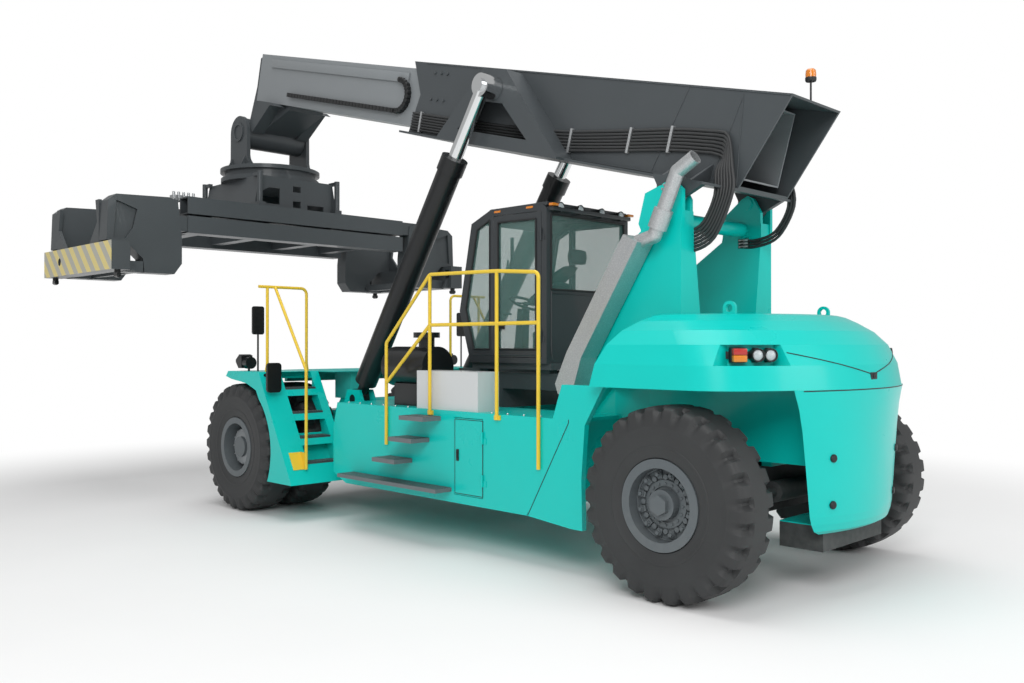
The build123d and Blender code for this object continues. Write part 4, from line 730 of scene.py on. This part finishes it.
# pressed creases and the lower rear panel's rounded bead
bm = bmesh.new()
for x0, z0, x1, z1 in ((2.28, 2.02, 3.36, 2.02), (3.02, 1.99, 3.02, 3.57)):
    hose(bm, [at(x0, DOOR_Y, z0), at(x1, DOOR_Y, z1)], 0.006, sides=6, step=2.0)
for y in (-0.62, 0.62):
    hose(bm, [at(2.197, y, 2.70), at(2.197, y, 2.10), at(2.20, y * 0.96, 1.97)], 0.007, sides=6, step=0.3)
hose(bm, [at(2.197, -0.62, 2.68), at(2.197, 0.62, 2.68)], 0.007, sides=6, step=2.0)
put("cab_creases", bm, cab_enamel, "cab")
# roof header: a folded tray with lamps and markers
bm = bmesh.new()
slab(bm, at(2.13, -0.66, 3.555), at(2.25, 0.66, 3.60), 0.012)
slab(bm, at(2.20, -0.68, 3.612), at(3.10, 0.68, 3.655), 0.02)
put("roof_header", bm, cab_enamel, "cab")
bm, shells, glow = bmesh.new(), bmesh.new(), bmesh.new()
for y in (-0.5, -0.16, 0.2, 0.52):
    lathe(shells, at(2.15, y, 3.60), (-1, 0, 0.05), [(0, -0.05), (0.05, -0.05), (0.056, 0.01), (0.05, 0.012),
                                                     (0.05, 0.0), (0, 0.0)], 28)
    lathe(glow, at(2.145, y, 3.60), (-1, 0, 0.05), [(0, 0.0), (0.048, 0.0), (0.035, 0.01), (0, 0.014)], 28)
for y in (-0.64, 0.64):
    slab(bm, at(2.11, y - 0.05, 3.602), at(2.17, y + 0.05, 3.632), 0.01)
for x in (2.45, 2.95):
    slab(bm, at(x - 0.05, 0.67, 3.60), at(x + 0.05, 0.70, 3.625), 0.008)
put("header_lamp_shells", shells, moulded_black, "cab")
put("header_lamp_lenses", glow, clear_lens, "cab")
put("header_markers", bm, amber_lens, "cab")
bm = bmesh.new()
hose(bm, [at(3.43, 0.0, 2.50), at(3.60, 0.0, 2.56), at(3.46, 0.02, 3.15)], 0.011)
slab(bm, at(3.40, -0.02, 3.0), at(3.425, 0.02, 3.42), 0.006)
put("wiper", bm, moulded_black, "cab")
bm = bmesh.new()
for x in (2.26, 3.32):
    for y in (-0.52, 0.52):
        lathe(bm, at(x + 0.05, y, 1.90), (0, 0, 1), [(0, 0), (0.07, 0), (0.075, 0.015), (0.07, 0.03),
                                                     (0, 0.03)], 20)
put("cab_mounts", bm, moulded_black, "cab")
# seat cover: foam under charcoal cloth with a sewn centre panel
seat_cloth, tree = new_material("woven_seat_cloth")
# charcoal polyester weave of 3 mm threads, drawn as 6 mm so it shows
place = add(tree, "ShaderNodeTexCoord")
weave = add(tree, "ShaderNodeTexWave", {"Vector": place.outputs["Object"], "Scale": 52.0, "Distortion": 0.4})
tone = add(tree, "ShaderNodeMix", {0: weave.outputs["Fac"], 6: linear("26292B"), 7: linear("3A3F42")},
           data_type="RGBA")
bump = add(tree, "ShaderNodeBump", {"Height": weave.outputs["Fac"], "Strength": 0.4, "Distance": 0.002})
cloth = add(tree, "ShaderNodeBsdfPrincipled", {"Base Color": tone.outputs[2], "Roughness": 0.85,
                                               "Sheen Weight": 0.3, "Normal": bump.outputs[0]})
add(tree, "ShaderNodeOutputMaterial", {0: cloth.outputs[0]})


def cushion(bm, low, high, crown, lean=0.0):
    """A crowned foam pad between two corners, leaning back by lean over its height."""
    low, high = Vector(low), Vector(high)
    before = set(bm.verts)
    made = bmesh.ops.create_cube(bm, size=1.0)["verts"]
    bmesh.ops.subdivide_edges(bm, edges=list({e for v in made for e in v.link_edges}), cuts=5,
                              use_grid_fill=True)
    for v in set(bm.verts) - before:
        c = v.co * 2
        pull = [1 - crown * (c[(k + 1) % 3] ** 2 + c[(k + 2) % 3] ** 2) / 2 for k in range(3)]
        p = Vector(((c.x * pull[0] + 1) / 2, (c.y * pull[1] + 1) / 2, (c.z * pull[2] + 1) / 2))
        v.co = Vector((low.x + p.x * (high.x - low.x) - lean * p.z, low.y + p.y * (high.y - low.y),
                       low.z + p.z * (high.z - low.z)))


bm = bmesh.new()
cushion(bm, at(2.44, -0.25, 2.27), at(2.92, 0.25, 2.40), 0.16)
cushion(bm, at(2.43, -0.24, 2.38), at(2.565, 0.24, 3.04), 0.16, lean=0.11)
cushion(bm, at(2.33, -0.13, 3.03), at(2.42, 0.13, 3.20), 0.2)
slab(bm, at(2.48, -0.23, 1.975), at(2.86, 0.23, 2.28), 0.03)
seat_piece = put("seat_cushions", bm, seat_cloth, "cab", smooth=60)
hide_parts("operator_seat")

# ---- Boom ---------------------------------------------------------------
# Welded box boom: a bundle of pressure hoses clamped along the flank and looped to the tower, an
# energy chain beside the inner section, weld creases at the tail, a beacon on a thin mast.
BOOM_PIN = at(0.57, 0.0, 3.58)
BOOM_RISE = math.radians(15)
BOOM_SIDE = 0.452


def on_boom(u, y, w):
    """A place on the boom: u metres out along it, y across, w above the line through its pin."""
    return BOOM_PIN + Vector((u * math.cos(BOOM_RISE) - w * math.sin(BOOM_RISE), y,
                              u * math.sin(BOOM_RISE) + w * math.cos(BOOM_RISE)))


def slab_on_boom(bm, low, high, bevel=0.0):
    """A cuboid square to the boom, between two corners in its own u, y and w."""
    before = set(bm.verts)
    slab(bm, low, high, bevel)
    for v in set(bm.verts) - before:
        v.co = on_boom(*v.co)


for side, word in ((1, "left"), (-1, "right")):
    # the tail's bent plates: three weld lines, then the flanges' welds
    bm = bmesh.new()
    for a, b in (((-0.365, 0.955), (-0.22, 0.155)), ((-0.365, 0.95), (-0.505, 0.14)),
                 ((0.251, 0.968), (0.489, 0.151)),
                 ((-0.50, 0.13), (4.44, 0.13)), ((-0.84, 0.985), (4.30, 0.985))):
        hose(bm, [on_boom(a[0], side * BOOM_SIDE, a[1]), on_boom(b[0], side * BOOM_SIDE, b[1])], 0.006,
             sides=6, step=3.0)
    put(f"boom_weld_lines_{word}", bm, slate_enamel, "boom")
    bm = bmesh.new()
    for k in range(3):
        for w in (0.24, 0.56, 0.88):
            bolt(bm, on_boom(3.86 + k * 0.12, side * BOOM_SIDE, w), (0, side, 0), 0.03, 0.016, 0.022)
    put(f"boom_pad_bolts_{word}", bm, slate_enamel, "boom")
    bm = bmesh.new()
    for k in range(6):
        a = 2 * math.pi * k / 6
        bolt(bm, BOOM_PIN + Vector((0.042 * math.cos(a), side * 0.812, 0.042 * math.sin(a))), (0, side, 0),
             0.016, 0.01)
    put(f"tower_pin_bolts_{word}", bm, zinc, "chassis")

# seven hoses, 33 mm apart: they fall from the tail's mid-height to the flange as they run forward
HOSES, HOSE_R, HOSE_PITCH = 7, 0.0155, 0.033
bm = bmesh.new()
for k in range(HOSES):
    w = k * HOSE_PITCH
    hose(bm, [on_boom(-0.18, 0.475, 0.40 + w), on_boom(0.30, 0.475, 0.37 + w), on_boom(1.1, 0.475, 0.27 + w),
              on_boom(1.9, 0.475, 0.19 + w), on_boom(3.0, 0.475, 0.165 + w), on_boom(4.38, 0.475, 0.165 + w)],
         HOSE_R, sides=8, step=0.12)
put("flank_hoses", bm, rubber, "boom")
bm = bmesh.new()
for u, w in ((0.32, 0.37), (0.82, 0.305), (1.62, 0.214), (3.55, 0.165), (4.2, 0.165)):
    slab_on_boom(bm, (u - 0.015, 0.452, w - 0.03), (u + 0.015, 0.497, w + HOSE_PITCH * (HOSES - 1) + 0.03),
                 0.005)
put("hose_clamps", bm, bright_sheet, "boom")

# the loops between the towers and the boom's tail, on no body
for side, word, count in ((1, "left", HOSES), (-1, "right", 3)):
    bm = bmesh.new()
    for k in range(count):
        inner, up = 0.031 * (count - 1 - k), HOSE_PITCH * k
        w = 0.40 + up
        hose(bm, [at(0.66, side * 0.585, 3.21 - up), at(0.45, side * 0.585, 3.20 - up),
                  at(0.20 + inner * 0.6, side * 0.58, 3.27 - up * 0.8),
                  at(0.02 + inner, side * 0.56, 3.50), at(0.04 + inner * 0.9, side * 0.53, 3.74),
                  on_boom(-0.33, side * 0.49, w - 0.03), on_boom(-0.18, side * 0.475, w)], HOSE_R, sides=8,
             step=0.05)
    loop = put(f"tail_hoses_{word}", bm, rubber, None)
    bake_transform(loop)
bm = bmesh.new()
for side, count in ((1, HOSES), (-1, 3)):
    for k in range(count):
        lathe(bm, at(0.655, side * 0.585, 3.21 - HOSE_PITCH * k), (-1, 0, 0),
              [(0, 0), (0.0155, 0), (0.0155, 0.05), (0.019, 0.055), (0.019, 0.11), (0, 0.11)], 12)
put("tower_hose_unions", bm, zinc, "chassis")

# energy chain and its bar beside the inner section, turning back on itself near the mouth
bm = bmesh.new()
slab_on_boom(bm, (4.72, 0.362, 0.735), (8.2, 0.385, 0.86), 0.006)
put("slide_bar", bm, pale_and_lit_slate_enamel, "boom_slide")
bm = bmesh.new()
CHAIN_U, CHAIN_W, CHAIN_TURN, CHAIN_LINK = 4.86, 0.56, 0.20, 0.08
for k in range(34):
    u = CHAIN_U + k * CHAIN_LINK
    slab_on_boom(bm, (u, 0.366, CHAIN_W - CHAIN_TURN - 0.03), (u + CHAIN_LINK - 0.008, 0.428,
                                                               CHAIN_W - CHAIN_TURN + 0.03), 0.006)
for k in range(13):
    a = math.pi * (0.5 + k / 12)
    spot = on_boom(CHAIN_U + CHAIN_TURN * math.cos(a), 0.366, CHAIN_W + CHAIN_TURN * math.sin(a))
    lathe(bm, spot, (0, 1, 0), [(0, 0), (0.033, 0), (0.037, 0.008), (0.037, 0.054), (0.033, 0.062),
                                (0, 0.062)], 12)
put("energy_chain", bm, moulded_black, "boom_slide")

# beacon on the tail's top edge
MAST = on_boom(-0.82, 0.05, 0.99)
MAST_UP = Vector((0, 0, 1))
bm = bmesh.new()
bar(bm, MAST, MAST + MAST_UP * 0.20, 0.009)
lathe(bm, MAST + MAST_UP * 0.19, MAST_UP, [(0, 0), (0.045, 0), (0.05, 0.012), (0.05, 0.035), (0, 0.035)], 28)
put("beacon_mast", bm, moulded_black, "boom")
bm = bmesh.new()
lathe(bm, MAST + MAST_UP * 0.225, MAST_UP, [(0, 0), (0.046, 0), (0.048, 0.03), (0.044, 0.065), (0.03, 0.078),
                                            (0, 0.08)], 28)
put("beacon_lens", bm, amber_lens, "boom")

# ---- Spreader and tilt gear ---------------------------------------------
# Telescopic spreader: barred marking on the arm ends, bolts round the slewing ring, and a row of
# ported valves with short hose tails on the left housing.
def barred(name):
    """Slate enamel whose outermost face carries 45 degree bars, pale grey and pale yellow, 110 mm wide."""
    material, tree = new_material(name)
    place = add(tree, "ShaderNodeTexCoord")
    apart = add(tree, "ShaderNodeSeparateXYZ", {0: place.outputs["Object"]})
    run = add(tree, "ShaderNodeMath", {0: apart.outputs[0], 1: apart.outputs[2]}, operation="SUBTRACT")
    band = add(tree, "ShaderNodeMath", {0: run.outputs[0], 1: 0.155}, operation="PINGPONG")
    upper = add(tree, "ShaderNodeMath", {0: band.outputs[0], 1: 0.0775}, operation="GREATER_THAN")
    bars = add(tree, "ShaderNodeMix", {0: upper.outputs[0], 6: linear("B9B8AC"), 7: linear("E8D68C")},
               data_type="RGBA")
    across = add(tree, "ShaderNodeMath", {0: apart.outputs[1]}, operation="ABSOLUTE")
    outermost = add(tree, "ShaderNodeMath", {0: across.outputs[0], 1: 3.0485}, operation="GREATER_THAN")
    cloud = add(tree, "ShaderNodeTexNoise", {"Vector": place.outputs["Object"], "Scale": 1.3, "Detail": 5.0})
    slate = add(tree, "ShaderNodeMix", {0: cloud.outputs["Fac"], 6: linear("43484A"), 7: linear("4B5053")},
                data_type="RGBA")
    shown = add(tree, "ShaderNodeMix", {0: outermost.outputs[0], 6: slate.outputs[2], 7: bars.outputs[2]},
                data_type="RGBA")
    rough = add(tree, "ShaderNodeMapRange", {0: cloud.outputs["Fac"], 1: 0.3, 2: 0.7, 3: 0.36, 4: 0.5})
    paint = add(tree, "ShaderNodeBsdfPrincipled", {"Base Color": shown.outputs[2],
                                                   "Roughness": rough.outputs[0],
                                                   "Coat Weight": 0.12, "Specular IOR Level": 0.3})
    add(tree, "ShaderNodeOutputMaterial", {0: paint.outputs[0]})
    return material


dress(barred("barred_slate_enamel"), "spreader_arm_left", "spreader_arm_right")
turn_low, turn_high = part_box("turntable")
middle = (turn_low + turn_high) / 2
bm = bmesh.new()
for k in range(32):
    a = 2 * math.pi * k / 32
    bolt(bm, Vector((middle.x + 0.66 * math.cos(a), middle.y + 0.66 * math.sin(a), turn_high.z - 0.004)),
         (0, 0, 1), 0.03, 0.004)
put("slew_ring_bolts", bm, zinc, "slew_table")

# valve block on the spreader's left housing with its ports and hose tails
bm, tails = bmesh.new(), bmesh.new()
frame_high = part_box("spreader_frame")[1]
seat_z = frame_high.z
for k in range(5):
    spot = Vector((middle.x - 0.45, frame_high.y - 0.06 - 0.075 * k, seat_z))
    slab(bm, spot + Vector((-0.06, -0.035, 0.0)), spot + Vector((0.06, 0.035, 0.09)), 0.006)
    lathe(bm, spot + Vector((0, 0, 0.088)), (0, 0, 1), [(0, 0), (0.02, 0), (0.02, 0.05), (0.012, 0.06),
                                                        (0, 0.06)], 12)
    hose(tails, [spot + Vector((0.055, 0, 0.04)), spot + Vector((0.12, 0.0, 0.06)),
                 spot + Vector((0.18, 0.0, 0.035)), spot + Vector((0.20, 0.0, 0.008))], 0.010, sides=8)
put("valve_block", bm, zinc, "spreader")
put("valve_hoses", tails, rubber, "spreader")
